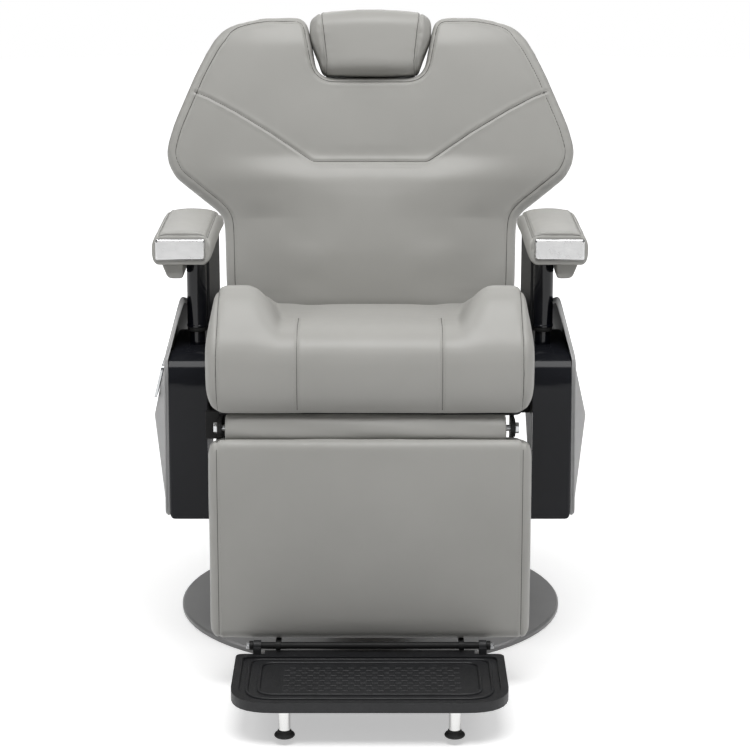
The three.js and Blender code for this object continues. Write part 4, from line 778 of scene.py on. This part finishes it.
def back_outline(side=0.0, top=0.0):
    """The back seen from its front, notch included: closed (x, z) points, drawn in from the edge."""
    n = NOTCH
    right = [(n["half"] - 2, n["bottom"], n["corner"]), (n["half"] + n["flare"], BACK_TOP, 16)]
    right += [(half, z, 0) for z, half in reversed(BACK_HALF[1:])]
    right.append((BACK_HALF[0][1], BACK_HALF[0][0], 24))
    left = [(-a, b, r) for a, b, r in reversed(right)]
    path = resample(rounded(right + left), 420, closed=True)
    for _ in range(2):
        path = (np.roll(path, 1, axis=0) + 2 * path + np.roll(path, -1, axis=0)) / 4
    share = near_top(path)
    return path + closed_sides(path) * (side * (1 - share) + top * share)[:, None]


def prism(outline, low, high, name, to):
    """A closed slab over an (x, z) outline, between two depths."""
    count = len(outline)
    verts = [(x, low, z) for x, z in outline] + [(x, high, z) for x, z in outline]
    faces = [(i, (i + 1) % count, (i + 1) % count + count, i + count) for i in range(count)]
    faces += [tuple(range(count)), tuple(range(2 * count - 1, count - 1, -1))]
    return new_object(name, verts, faces, None, to)


def back_cushion():
    outline = back_outline()
    obj = prism(outline, -24, BACK_REAR, "back_leather", TO_BACK)
    obj.data.materials.append(LEATHER)
    remeshed(obj, 4.4)
    p = local_points(obj, TO_BACK)
    flat = np.column_stack([p[:, 0], p[:, 2]])
    edge = distance_to(np.vstack([outline, outline[:1]]), flat)
    front = smooth(BACK_REAR, -24, p[:, 1])
    u = np.clip(np.abs(p[:, 0]) / back_half(p[:, 2]), 0, 1)
    crown = 16 * (1 - u**2) * smooth(0, 50, BACK_TOP - p[:, 2]) * smooth(0, 60, p[:, 2] - BACK_BOTTOM)
    lumbar = 16 * smooth(50, 170, p[:, 2]) * (1 - smooth(285, 335, p[:, 2])) * (1 - smooth(0.35, 0.9, u))
    turned = 17 * smooth(0.3, 1, u) * (1 - smooth(170, 320, p[:, 2]))
    fall = drawn_in(18 - 8 * near_top(flat), edge + 1)
    p[:, 1] -= front * (crown + lumbar - turned - 0.9 * fall)
    set_local_points(obj, p, TO_BACK)
    relaxed(obj, 0.5, 8)
    swollen(obj, 1.6)
    p = local_points(obj, TO_BACK)
    flat = np.column_stack([p[:, 0], p[:, 2]])
    welt_line = back_outline(WELT_INSET["side"], WELT_INSET["top"])
    welt_line = np.vstack([welt_line, welt_line[:1]])
    chevron = spline_corners(CHEVRON)
    seam = np.minimum(distance_to(chevron, flat), distance_to(welt_line, flat))
    facing = p[:, 1] < 0
    inflated(obj, ((seam < 3.5) & facing) | (p[:, 1] > BACK_REAR - 8), 2.2, 7)
    divided(obj)
    p = local_points(obj, TO_BACK)
    flat = np.column_stack([p[:, 0], p[:, 2]])
    facing = p[:, 1] < 0
    welt = np.where(facing, distance_to(welt_line, flat), FAR)
    fold = np.where(facing, distance_to(chevron, flat), FAR)
    near = np.exp(-((np.minimum(welt, fold) / 20) ** 2))
    world = points_of(obj)
    lift = ripple(world, 38, 11) * near * 0.45 + ripple(world, 190, 12) * 0.5
    set_points(obj, world + normals_of(obj) * lift[:, None])
    crease(obj, welt, 1.7, 1.8)
    crease(obj, fold, 1.8, 2.2)
    finish_piece(obj, "back", "leather", "back_cushion")
    back_threads(surface_tree(obj), chevron, welt_line)


def back_threads(tree, chevron, welt_line):
    def on_back(path):
        return cast_path(tree, [(x, -300, z) for x, z in path], (0, 1, 0), TO_BACK)

    row = resample(offset_path(chevron, -11.0), 400)
    middle = row[np.abs(row[:, 0]) < 92]
    inner = back_outline(WELT_INSET["side"] + 4.6, WELT_INSET["top"] + 4.6)
    loop = resample(np.vstack([inner, inner[:1]]), 1400)
    rows = [on_back(path) for path in (resample(offset_path(chevron, -5.5), 400), middle, loop)]
    stitches("back_topstitch", rows, "back")
    # Rows for the thin dark cords of painted seam shade, along the chevron and the welt.
    folds = [on_back(path) for path in (resample(chevron, 500), resample(welt_line, 900))]
    seam_shade_cord("back_seam_shade", folds, "back")


def spline_corners(points, radius=5):
    """An open polyline with its inner corners eased."""
    p = [np.array(q, float) for q in points]
    out = [p[0]]
    for a, b, c in zip(p[:-2], p[1:-1], p[2:]):
        start = b + (a - b) / np.linalg.norm(a - b) * radius
        end = b + (c - b) / np.linalg.norm(c - b) * radius
        for t in np.linspace(0, 1, 7):
            out.append((1 - t) ** 2 * start + 2 * t * (1 - t) * b + t * t * end)
    out.append(p[-1])
    return resample(np.array(out), 260)


# ---- headrest cushion, drawn from the back's pivot
HEAD = {"bottom": 470, "top": 581, "foot": 85, "half": 106, "front": -66}


def headrest_form():
    height = HEAD["top"] - HEAD["bottom"]
    foot = np.array([0, 1.2, 3.5, 7])
    ups = np.concatenate([foot, np.linspace(12, height - 12, 26), height - foot[::-1]])
    rings = []
    for up in ups:
        taper = float(smooth(0, 78, up)) * (HEAD["half"] - HEAD["foot"])
        half = HEAD["foot"] + taper - float(drawn_in(14, up + 0.6)) - float(drawn_in(20, height - up + 0.6))
        depth = BACK_REAR - HEAD["front"] - float(drawn_in(26, up + 1))
        depth -= 1.15 * float(drawn_in(30, height - up + 2))
        side = [(half - 6, 0), (half - 1, 0.1), (half, 0.35), (half - 1, 0.6), (half - 5, 0.76)]
        front = [(x, 1 - 0.13 * (x / half) ** 2) for x in np.linspace(half - 14, 14 - half, 22)]
        rear = [(x, 0) for x in np.linspace(6 - half, half - 6, 14)[1:-1]]
        ring = side + front + [(-x, d) for x, d in reversed(side)] + rear
        z = HEAD["bottom"] + up
        rings.append([(x, BACK_REAR - d * depth, z - 5 * (up / height) * (x / half) ** 2) for x, d in ring])
    return new_object("headrest_leather", *loft(rings), LEATHER, TO_BACK)


def head_seam_x(z):
    return 80 + 7 * smooth(HEAD["bottom"], HEAD["top"], z)


def headrest_cushion():
    obj = headrest_form()
    remeshed(obj, 3.4)
    relaxed(obj, 0.5, 5)
    swollen(obj, 1.2)
    p = local_points(obj, TO_BACK)
    held = (line_distance(p, head_seam_x(p[:, 2])) < 2.6) | (p[:, 1] > BACK_REAR - 6)
    inflated(obj, held, 3.0, 5)
    divided(obj)
    p = local_points(obj, TO_BACK)
    seam = line_distance(p, head_seam_x(p[:, 2]))
    near = np.exp(-((seam / 15) ** 2))
    world = points_of(obj)
    lift = ripple(world * [0.4, 1, 1], 15, 21) * near * 0.5 + ripple(world, 90, 22) * 0.4
    set_points(obj, world + normals_of(obj) * lift[:, None])
    crease(obj, np.where(p[:, 1] < BACK_REAR - 4, seam, FAR), 1.5, 1.9)
    finish_piece(obj, "headrest", "leather", "headrest_cushion")
    headrest_threads(surface_tree(obj))


def headrest_threads(tree):
    rows = []
    folds = []
    middle_z = (HEAD["bottom"] + HEAD["top"]) / 2
    for side in (-1, 1):
        for out in (-4.2, 0, 4.2):
            path = []
            for angle in np.linspace(-115, 115, 120):
                a = math.radians(angle)
                z = middle_z + 62 * math.sin(a)
                path.append((side * (float(head_seam_x(z)) + out), -5 - 75 * math.cos(a), z))
            (rows if out else folds).append(nearest_path(tree, path, TO_BACK))
    stitches("headrest_topstitch", rows, "headrest", pitch=4.0, length=2.6)
    # Thin dark cords of painted seam shade in the two seams.
    seam_shade_cord("headrest_seam_shade", folds, "headrest")


# ---- leg rest cushion and the flap at the knee
LEG = {"half": 250, "front": -45, "back": 13.7, "top": -10, "bottom": -335}
LEG_SEAM_X = 237


def leg_outline(inset):
    half, low, high = LEG["half"] - inset, LEG["bottom"] + inset, LEG["top"] - inset
    return rounded([(half, high, 30 - inset), (-half, high, 30 - inset), (-half, low, 18), (half, low, 18)])


def leg_cushion():
    outline = leg_outline(0)
    obj = prism(outline, LEG["front"] + 14, LEG["back"], "legrest_leather", TO_LEG)
    obj.data.materials.append(LEATHER)
    remeshed(obj, 4.2)
    p = local_points(obj, TO_LEG)
    flat = p[:, [0, 2]]
    edge = distance_to(np.vstack([outline, outline[:1]]), flat)
    front = smooth(LEG["back"], LEG["front"] + 14, p[:, 1])
    u = np.abs(p[:, 0]) / LEG["half"]
    crown = 13 - 5 * u**2 - 3 * smooth(-120, 0, p[:, 2])
    fall = drawn_in(17, edge + 0.5)
    p[:, 1] -= front * (crown - 0.9 * fall)
    knee = np.hypot(p[:, 1], p[:, 2])
    push = np.where(knee < 29, 29 / np.maximum(knee, 1e-6), 1)
    p[:, 1] *= push
    p[:, 2] *= push
    set_local_points(obj, p, TO_LEG)
    relaxed(obj, 0.5, 4)
    swollen(obj, 1.2)
    p = local_points(obj, TO_LEG)
    welt = line_distance(p, LEG_SEAM_X)
    inflated(obj, ((welt < 3) & (p[:, 1] < 0)) | (p[:, 1] > 6) | (p[:, 2] > -34), 2.0, 5)
    divided(obj)
    p = local_points(obj, TO_LEG)
    welt = np.where(p[:, 1] < -8, line_distance(p, LEG_SEAM_X), FAR)
    world = points_of(obj)
    near = np.exp(-((welt / 20) ** 2))
    lift = ripple(world * [1, 1, 0.6], 30, 31) * near * 0.5 + ripple(world * [1, 1, 0.5], 120, 32) * 0.55
    set_points(obj, world + normals_of(obj) * lift[:, None])
    crease(obj, welt, 1.6, 1.9)
    finish_piece(obj, "legrest", "leather", "legrest_cushion")
    tree = surface_tree(obj)
    heights = np.linspace(LEG["top"] - 16, LEG["bottom"] + 8, 200)

    def upright(x):
        return cast_path(tree, [(x, -200, z) for z in heights], (0, 1, 0), TO_LEG)

    stitches("legrest_topstitch", [upright(side * (LEG_SEAM_X - 4.5)) for side in (-1, 1)], "legrest")
    # Thin dark cords of painted seam shade in the two welts.
    seam_shade_cord("legrest_seam_shade", [upright(side * LEG_SEAM_X) for side in (-1, 1)], "legrest")


def knee_flap():
    """A soft shell round the knee, from under the seat's nose to behind the leg rest's top."""
    angles = np.radians(np.linspace(-104, 73, 60))
    rings = []
    for x in np.linspace(-225, 212, 120):
        near_end = min(x + 225, 212 - x)
        tuck = 1.2 * math.exp(-near_end / 6)
        folds = 0.75 * np.sin(3.1 * angles + 1.5 * math.sin(x / 83)) + 0.45 * np.sin(6.3 * angles + x / 41)
        sway = 0.35 * math.sin(x / 29) + 0.2 * math.sin(x / 11)
        outer = 25.8 - tuck + folds * 0.8 + sway * np.cos(angles)
        inner = np.full(len(angles), 21.6)
        ring = [(x, -r * math.cos(a), r * math.sin(a)) for r, a in zip(outer, angles)]
        ring += [(x, -r * math.cos(a), r * math.sin(a)) for r, a in zip(inner[::-1], angles[::-1])]
        rings.append(ring)
    obj = new_object("knee_flap_leather", *loft(rings), LEATHER, TO_LEG)
    divided(obj)
    finish_piece(obj, "legrest", "leather", "knee_flap")
    tree = surface_tree(obj)
    rows = []
    for angle in (-64, 66):
        a = math.radians(angle)
        path = [(x, -32 * math.cos(a), 32 * math.sin(a)) for x in np.linspace(-220, 207, 300)]
        rows.append(nearest_path(tree, path, TO_LEG))
    stitches("flap_topstitch", rows, "legrest", pitch=4.0, length=2.6)


# ---- arm pads and the blocks under them
ARM = {"inner": 260, "bottom": 659, "top": 712, "front": -288, "rear": 40}
ARM_SECTION = [
    (0, 0), (20, 0), (38, 0), (60, 0), (78, 0), (84, 0.16), (86, 0.45), (83, 0.72), (74, 0.92), (57, 1),
    (38, 1.02), (19, 1), (5, 0.95), (-4, 0.8), (-10, 0.58), (-11, 0.36), (-7, 0.15), (0, 0),
]
ARM_SEAMS = (-3, 74)
ARM_NOSE_Z = 707
ABOVE_ARM = 760


def arm_form(side, suffix):
    section = spline(ARM_SECTION, 110)[:-1]
    length = ARM["rear"] - ARM["front"]
    rear = length - 26 + 26 * np.sin(np.linspace(0, 1.5, 12))
    places = np.concatenate([[0, 1, 3, 6], np.linspace(10, length - 32, 60), rear])
    rings = []
    for place in places:
        inset = float(drawn_in(5, place + 0.5)) + float(drawn_in(26, length - place + 1))
        height = (ARM["top"] - ARM["bottom"]) * (1 - 0.4 * float(smooth(200, 340, place)))
        scale = 1 - inset / 55
        y = ARM["front"] + place
        ring = []
        for out, up in section:
            x = side * (ARM["inner"] + 34 + (out - 34) * scale)
            ring.append((x, y, ARM["bottom"] + up * height * scale))
        rings.append(ring)
    return new_object("arm_pad_leather_" + suffix, *loft(rings), LEATHER)


def arm_pad(side, suffix):
    obj = arm_form(side, suffix)
    remeshed(obj, 3.2)
    relaxed(obj, 0.5, 3)

    def seam_distance(p):
        out = side * p[:, 0] - ARM["inner"]
        share = (p[:, 2] - ARM["bottom"]) / (ARM["top"] - ARM["bottom"])
        best = np.full(len(p), FAR)
        upper = share > 0.45
        for x in ARM_SEAMS:
            best = np.where(upper, np.minimum(best, np.abs(out - x)), best)
        edge = np.hypot(p[:, 1] - ARM["front"] - 1, p[:, 2] - ARM_NOSE_Z)
        return np.minimum(best, np.where((out > ARM_SEAMS[0]) & (out < ARM_SEAMS[1]), edge, FAR))

    p = points_of(obj)
    flat = (p[:, 2] < ARM["bottom"] + 3) | (p[:, 1] < ARM["front"] + 3)
    inflated(obj, (seam_distance(p) < 2.4) | flat, 2.5, 4)
    divided(obj)
    p = points_of(obj)
    seam = seam_distance(p)
    near = np.exp(-((seam / 14) ** 2))
    lift = ripple(p * [1, 0.6, 1], 22, 41) * near * 0.45 + ripple(p, 80, 42) * 0.35
    set_points(obj, p + normals_of(obj) * lift[:, None])
    crease(obj, seam, 1.5, 1.8)
    finish_piece(obj, "seat", "leather", "arm_pad_" + suffix)
    arm_threads(surface_tree(obj), side, suffix)


def arm_threads(tree, side, suffix):
    def along(x, start):
        ys = np.linspace(ARM["front"] + start, ARM["rear"] - 14, 240)
        return cast_path(tree, [(side * (ARM["inner"] + x), y, ABOVE_ARM) for y in ys], (0, 0, -1))

    low, high = ARM_SEAMS
    rows = [along(low + 4.5, 8), along(high - 4.5, 8)]
    xs = np.linspace(low + 5, high - 5, 60)
    path = [(side * (ARM["inner"] + x), ARM["front"] + 6, ABOVE_ARM) for x in xs]
    rows.append(cast_path(tree, path, (0, 0, -1)))
    stitches("arm_topstitch_" + suffix, rows, "seat", pitch=4.2, length=2.7)
    xs = np.linspace(low, high, 60)
    nose = [(side * (ARM["inner"] + x), ARM["front"] + 1, ARM_NOSE_Z) for x in xs]
    # Rows for the thin dark cords of painted seam shade, along the two seams and the nose.
    folds = [along(low, 3), along(high, 3), nearest_path(tree, nose)]
    seam_shade_cord("arm_seam_shade_" + suffix, folds, "seat", 0.5)


def softened(node, name, voxel, repeat):
    """A soft copy of a CAD piece: an even mesh, relaxed, shown in its place."""
    obj = cad_copy(node, name, LEATHER)
    remeshed(obj, voxel)
    relaxed(obj, 0.5, repeat)
    divided(obj)
    shade_smooth_all(obj)
    p = points_of(obj)
    set_points(obj, p + normals_of(obj) * (0.3 * ripple(p, 60, 51))[:, None])
    finish_piece(obj, BODY_OF[node], "leather", node)


# ---- side panels: dark inside, with a rolled rim
PANEL_RIM = [
    (329, -280, 244, 1.9), (326, -288, 505, 2.0), (303, -235, 595, 4.6), (303, 30, 532, 4.6),
    (324, 152, 478, 3.0), (326, 152, 404, 2.0), (329, -130, 232, 1.9),
]


def side_panel(side, suffix):
    obj = eased("side_panel_" + suffix, 1.2, angle=8)
    obj.data.materials.append(CORE_PLASTIC)
    for polygon in obj.data.polygons:
        if polygon.normal.x * side < -0.5:
            polygon.material_index = 1
    panel_rim(side, suffix)


def panel_rim(side, suffix):
    """A rolled edge round a side panel, thicker at its top."""
    corners = [np.array(corner, float) for corner in PANEL_RIM]
    path = []
    for i, corner in enumerate(corners):
        before = corners[i - 1] - corner
        after = corners[(i + 1) % len(corners)] - corner
        start = corner + before * 16 / np.linalg.norm(before)
        end = corner + after * 16 / np.linalg.norm(after)
        for t in np.linspace(0, 1, 9):
            path.append((1 - t) ** 2 * start + 2 * t * (1 - t) * corner + t * t * end)
    path = resample(path, 420, closed=True)
    run = np.roll(path[:, :3], -1, axis=0) - np.roll(path[:, :3], 1, axis=0)
    inward = np.cross(run, [1, 0, 0])
    inward /= np.linalg.norm(inward, axis=1)[:, None]
    outward = np.array([1, 0, 0])
    rings = []
    for (x, y, z, radius), across in zip(path, inward):
        centre = np.array([x + 3.4 - radius, y, z]) + across * radius * 0.5
        steps = [math.cos(a) * outward + math.sin(a) * across for a in full_turn(12)]
        rings.append([(centre + radius * step) * [side, 1, 1] for step in steps])
    rings.append(rings[0])
    rim = new_object("side_panel_rim_" + suffix, *loft(rings, closed_ends=False), GREY_PLASTIC)
    finish_piece(rim, "seat", "grey_plastic")


# ---- seals on the arm posts
ARM_POST = {"x": 279.5, "y": -220}
SEAL_PROFILE = [(12.2, 545.9), (15.6, 545.9), (15.9, 544.8), (15.6, 539.5), (14.2, 538.2), (12.2, 538.2)]


def wiper_seal(side, suffix):
    """The rubber ring under an arm's sleeve, around its post."""
    x, y = side * ARM_POST["x"], ARM_POST["y"]
    rings = []
    for radius, z in SEAL_PROFILE:
        rings.append([(x + radius * math.cos(a), y + radius * math.sin(a), z) for a in full_turn(48)])
    obj = new_object("arm_seal_" + suffix, *loft(rings), RUBBER)
    finish_piece(obj, "seat", "rubber")


# ---- footrest tread
FOOT = {"half": 210, "front": -220, "rear": -10, "corner": 68, "top": -10, "recess": 4}


RIB_PROFILE = [(-2.6, -0.2), (-1.9, 2.2), (-0.9, 3.0), (0.9, 3.0), (1.9, 2.2), (2.6, -0.2)]
RIB_INSETS = (24, 42)
BAR = {"rows": 10, "pitch": 18, "reach": 132, "length": 10, "half": 2, "sunk": 0.2, "high": 0.5}
BOLT_PROFILE = [(189.2, 5.6), (193.2, 5.6), (194.2, 4.8)]


def tread_rib(inset, floor):
    """A raised line round the tread, that far in from the plate's edge."""
    half, rear = FOOT["half"] - inset, FOOT["rear"] - inset * 0.8
    front, corner = FOOT["front"] + inset, FOOT["corner"] - inset
    path = rounded([(half, rear, 20), (-half, rear, 20), (-half, front, corner), (half, front, corner)])
    path = resample(path, 220, closed=True)
    rings = []
    for p, n in zip(path, closed_sides(path)):
        rings.append([(*(p + n * across), floor + up) for across, up in RIB_PROFILE])
    rings.append(rings[0])
    return loft(rings, closed_ends=False)


def tread_bars(floor):
    """Rows of short bars, each row half a pitch out of step with the next."""
    low, high = floor - BAR["sunk"], floor + BAR["high"]
    for row, y in enumerate(np.linspace(FOOT["front"] + 62, FOOT["rear"] - 52, BAR["rows"])):
        start = BAR["pitch"] / 2 * (row % 2) - BAR["reach"]
        for x in np.arange(start, 130, BAR["pitch"]):
            verts = []
            for inset, z in ((0, low), (1, high)):
                left, right = x + inset, x + BAR["length"] - inset
                front, rear = y - BAR["half"] + inset, y + BAR["half"] - inset
                verts += [(left, front, z), (right, front, z), (right, rear, z), (left, rear, z)]
            yield verts, [(4, 5, 6, 7)] + [(i, (i + 1) % 4, 4 + (i + 1) % 4, 4 + i) for i in range(4)]


def foot_tread():
    """The moulded tread on the recess: ribs along its edge and rows of short bars in its middle."""
    floor = FOOT["top"] - FOOT["recess"]
    verts, faces = [], []
    for part_verts, part_faces in [tread_rib(inset, floor) for inset in RIB_INSETS] + list(tread_bars(floor)):
        faces += [tuple(len(verts) + i for i in face) for face in part_faces]
        verts += list(part_verts)
    obj = new_object("footrest_tread", verts, faces, GRAINED, TO_FOOT, shade_smooth=False)
    finish_piece(obj, "footrest", "textured_plastic")


def foot_bolt(side, suffix):
    """The hexagonal bolt head at an end of the footrest's hinge tube."""
    rings = []
    for x, radius in BOLT_PROFILE:
        rings.append([(side * x, radius * math.cos(a), radius * math.sin(a)) for a in full_turn(6)])
    obj = new_object("footrest_bolt_" + suffix, *loft(rings), STEEL, TO_FOOT, shade_smooth=False)
    finish_piece(obj, "legrest", "steel")


# ---- build
SOFT = {
    "seat_cushion", "back_cushion", "headrest_cushion", "legrest_cushion", "knee_flap", "arm_pad_left",
    "arm_pad_right", "arm_block_left", "arm_block_right", "back_rear_panel",
}
BEVELS = {
    "base_plate": 1.6, "side_housing_left": 1.4, "side_housing_right": 1.4, "footrest_plate": 1.6,
    "arm_side_panel_left": 1.2, "arm_side_panel_right": 1.2, "pedal_pad": 1.5, "headrest_guide": 0.5,
    "arm_sleeve_left": 0.25, "arm_sleeve_right": 0.25,
}

seat_cushion()
back_cushion()
headrest_cushion()
leg_cushion()
knee_flap()
for sign, label in ((1, "right"), (-1, "left")):
    arm_pad(sign, label)
    side_panel(sign, label)
    wiper_seal(sign, label)
    foot_bolt(sign, label)
    eased("arm_end_plate_" + label, 0.6, finish=PLATE_CHROME)
    softened("arm_block_" + label, "arm_block_leather_" + label, 2.2, 6)
softened("back_rear_panel", "rear_panel_leather", 4.0, 3)
foot_tread()
for node in sorted(frame["nodes"]):
    if node not in SOFT and not node.startswith(("side_panel", "arm_end_plate")):
        eased(node, BEVELS.get(node, 0.7))


# ---- floor, light and camera
FLOOR_GLOW = {"From_Min": 0.5, "From_Max": 3.0, "To_Min": 0.45, "To_Max": 1.0}
WORLD_STRENGTH = 0.23


def floor_material():
    """A pale floor that keeps the chair's shadow and turns white away from it."""
    f = Finish("floor", 0.9)
    f.colour(f.noise(2.0), (0.80, 0.80, 0.80), (0.82, 0.82, 0.82))
    f.bump(f.noise(400.0), 0.05, 0.0005)
    path = f.node("LightPath")
    glow = f.node("Emission")
    total = f.node("AddShader")
    either = f.node("Math")
    either.operation = "MAXIMUM"
    f.link(path.outputs["Is Camera Ray"], either.inputs[0])
    f.link(path.outputs["Is Glossy Ray"], either.inputs[1])
    away = f.node("VectorMath")
    away.operation = "LENGTH"
    f.link(f.coords, away.inputs[0])
    level = f.node("MapRange", **FLOOR_GLOW)
    level.interpolation_type = "SMOOTHSTEP"
    f.link(away.outputs["Value"], level.inputs["Value"])
    scale = f.node("Math")
    scale.operation = "MULTIPLY"
    f.link(level.outputs["Result"], scale.inputs[1])
    f.link(either.outputs[0], scale.inputs[0])
    f.link(scale.outputs[0], glow.inputs["Strength"])
    f.link(f.bsdf.outputs["BSDF"], total.inputs[0])
    f.link(glow.outputs["Emission"], total.inputs[1])
    f.link(total.outputs["Shader"], f.nodes["Material Output"].inputs["Surface"])
    return f.material


def floor():
    rings = []
    for radius in (40, 9000):
        turn = full_turn(96)
        rings.append(np.column_stack([radius * np.cos(turn), radius * np.sin(turn), np.zeros(96)]))
    verts, faces = loft(rings, closed_ends=False)
    faces.append(tuple(range(96)))
    obj = new_object("studio_floor", verts, faces, floor_material())


def area_light(name, place, target, size, power):
    data = bpy.data.lights.new(name, "AREA")
    data.shape = "RECTANGLE"
    data.size, data.size_y = size
    data.energy = power
    obj = bpy.data.objects.new(name, data)
    link_object(obj)
    obj.location = place
    obj.rotation_euler = (Vector(target) - Vector(place)).to_track_quat("-Z", "Y").to_euler()


def world_light():
    world = bpy.data.worlds.new("studio")
    bpy.context.scene.world = world
    world.use_nodes = True
    tree = world.node_tree
    back = tree.nodes["Background"]
    back.inputs["Color"].default_value = (1, 1, 1, 1)
    path = tree.nodes.new("ShaderNodeLightPath")
    seen = tree.nodes.new("ShaderNodeMapRange")
    seen.inputs["To Min"].default_value = WORLD_STRENGTH
    seen.inputs["To Max"].default_value = 1.0
    tree.links.new(path.outputs["Is Camera Ray"], seen.inputs["Value"])
    tree.links.new(seen.outputs["Result"], back.inputs["Strength"])


def studio():
    floor()
    world_light()
    area_light("key_above", (0.0, -1.6, 3.2), (0, -0.1, 0.6), (2.4, 1.4), 78)
    area_light("strip_left", (-2.6, 0.3, 2.8), (0, -0.1, 0.6), (0.8, 1.8), 23)
    area_light("strip_right", (2.6, 0.3, 2.8), (0, -0.1, 0.6), (0.8, 1.8), 23)
    area_light("rim_behind", (0.0, 2.4, 2.2), (0, 0, 0.7), (2.4, 1.2), 18)


SENSOR_WIDTH = 36
FOCAL_PIXELS = 2390
IMAGE_PIXELS = 750
CAMERA_PITCH = 13.7


def camera():
    data = bpy.data.cameras.new("camera")
    data.lens = SENSOR_WIDTH * FOCAL_PIXELS / IMAGE_PIXELS
    data.sensor_width = SENSOR_WIDTH
    data.clip_end = 50
    obj = bpy.data.objects.new("camera", data)
    link_object(obj)
    obj.location = (0.008, -4.0, 1.385)
    obj.rotation_euler = (math.radians(90 - CAMERA_PITCH), 0, 0)
    bpy.context.scene.camera = obj


studio()
camera()
bpy.context.scene.view_settings.view_transform = "Standard"
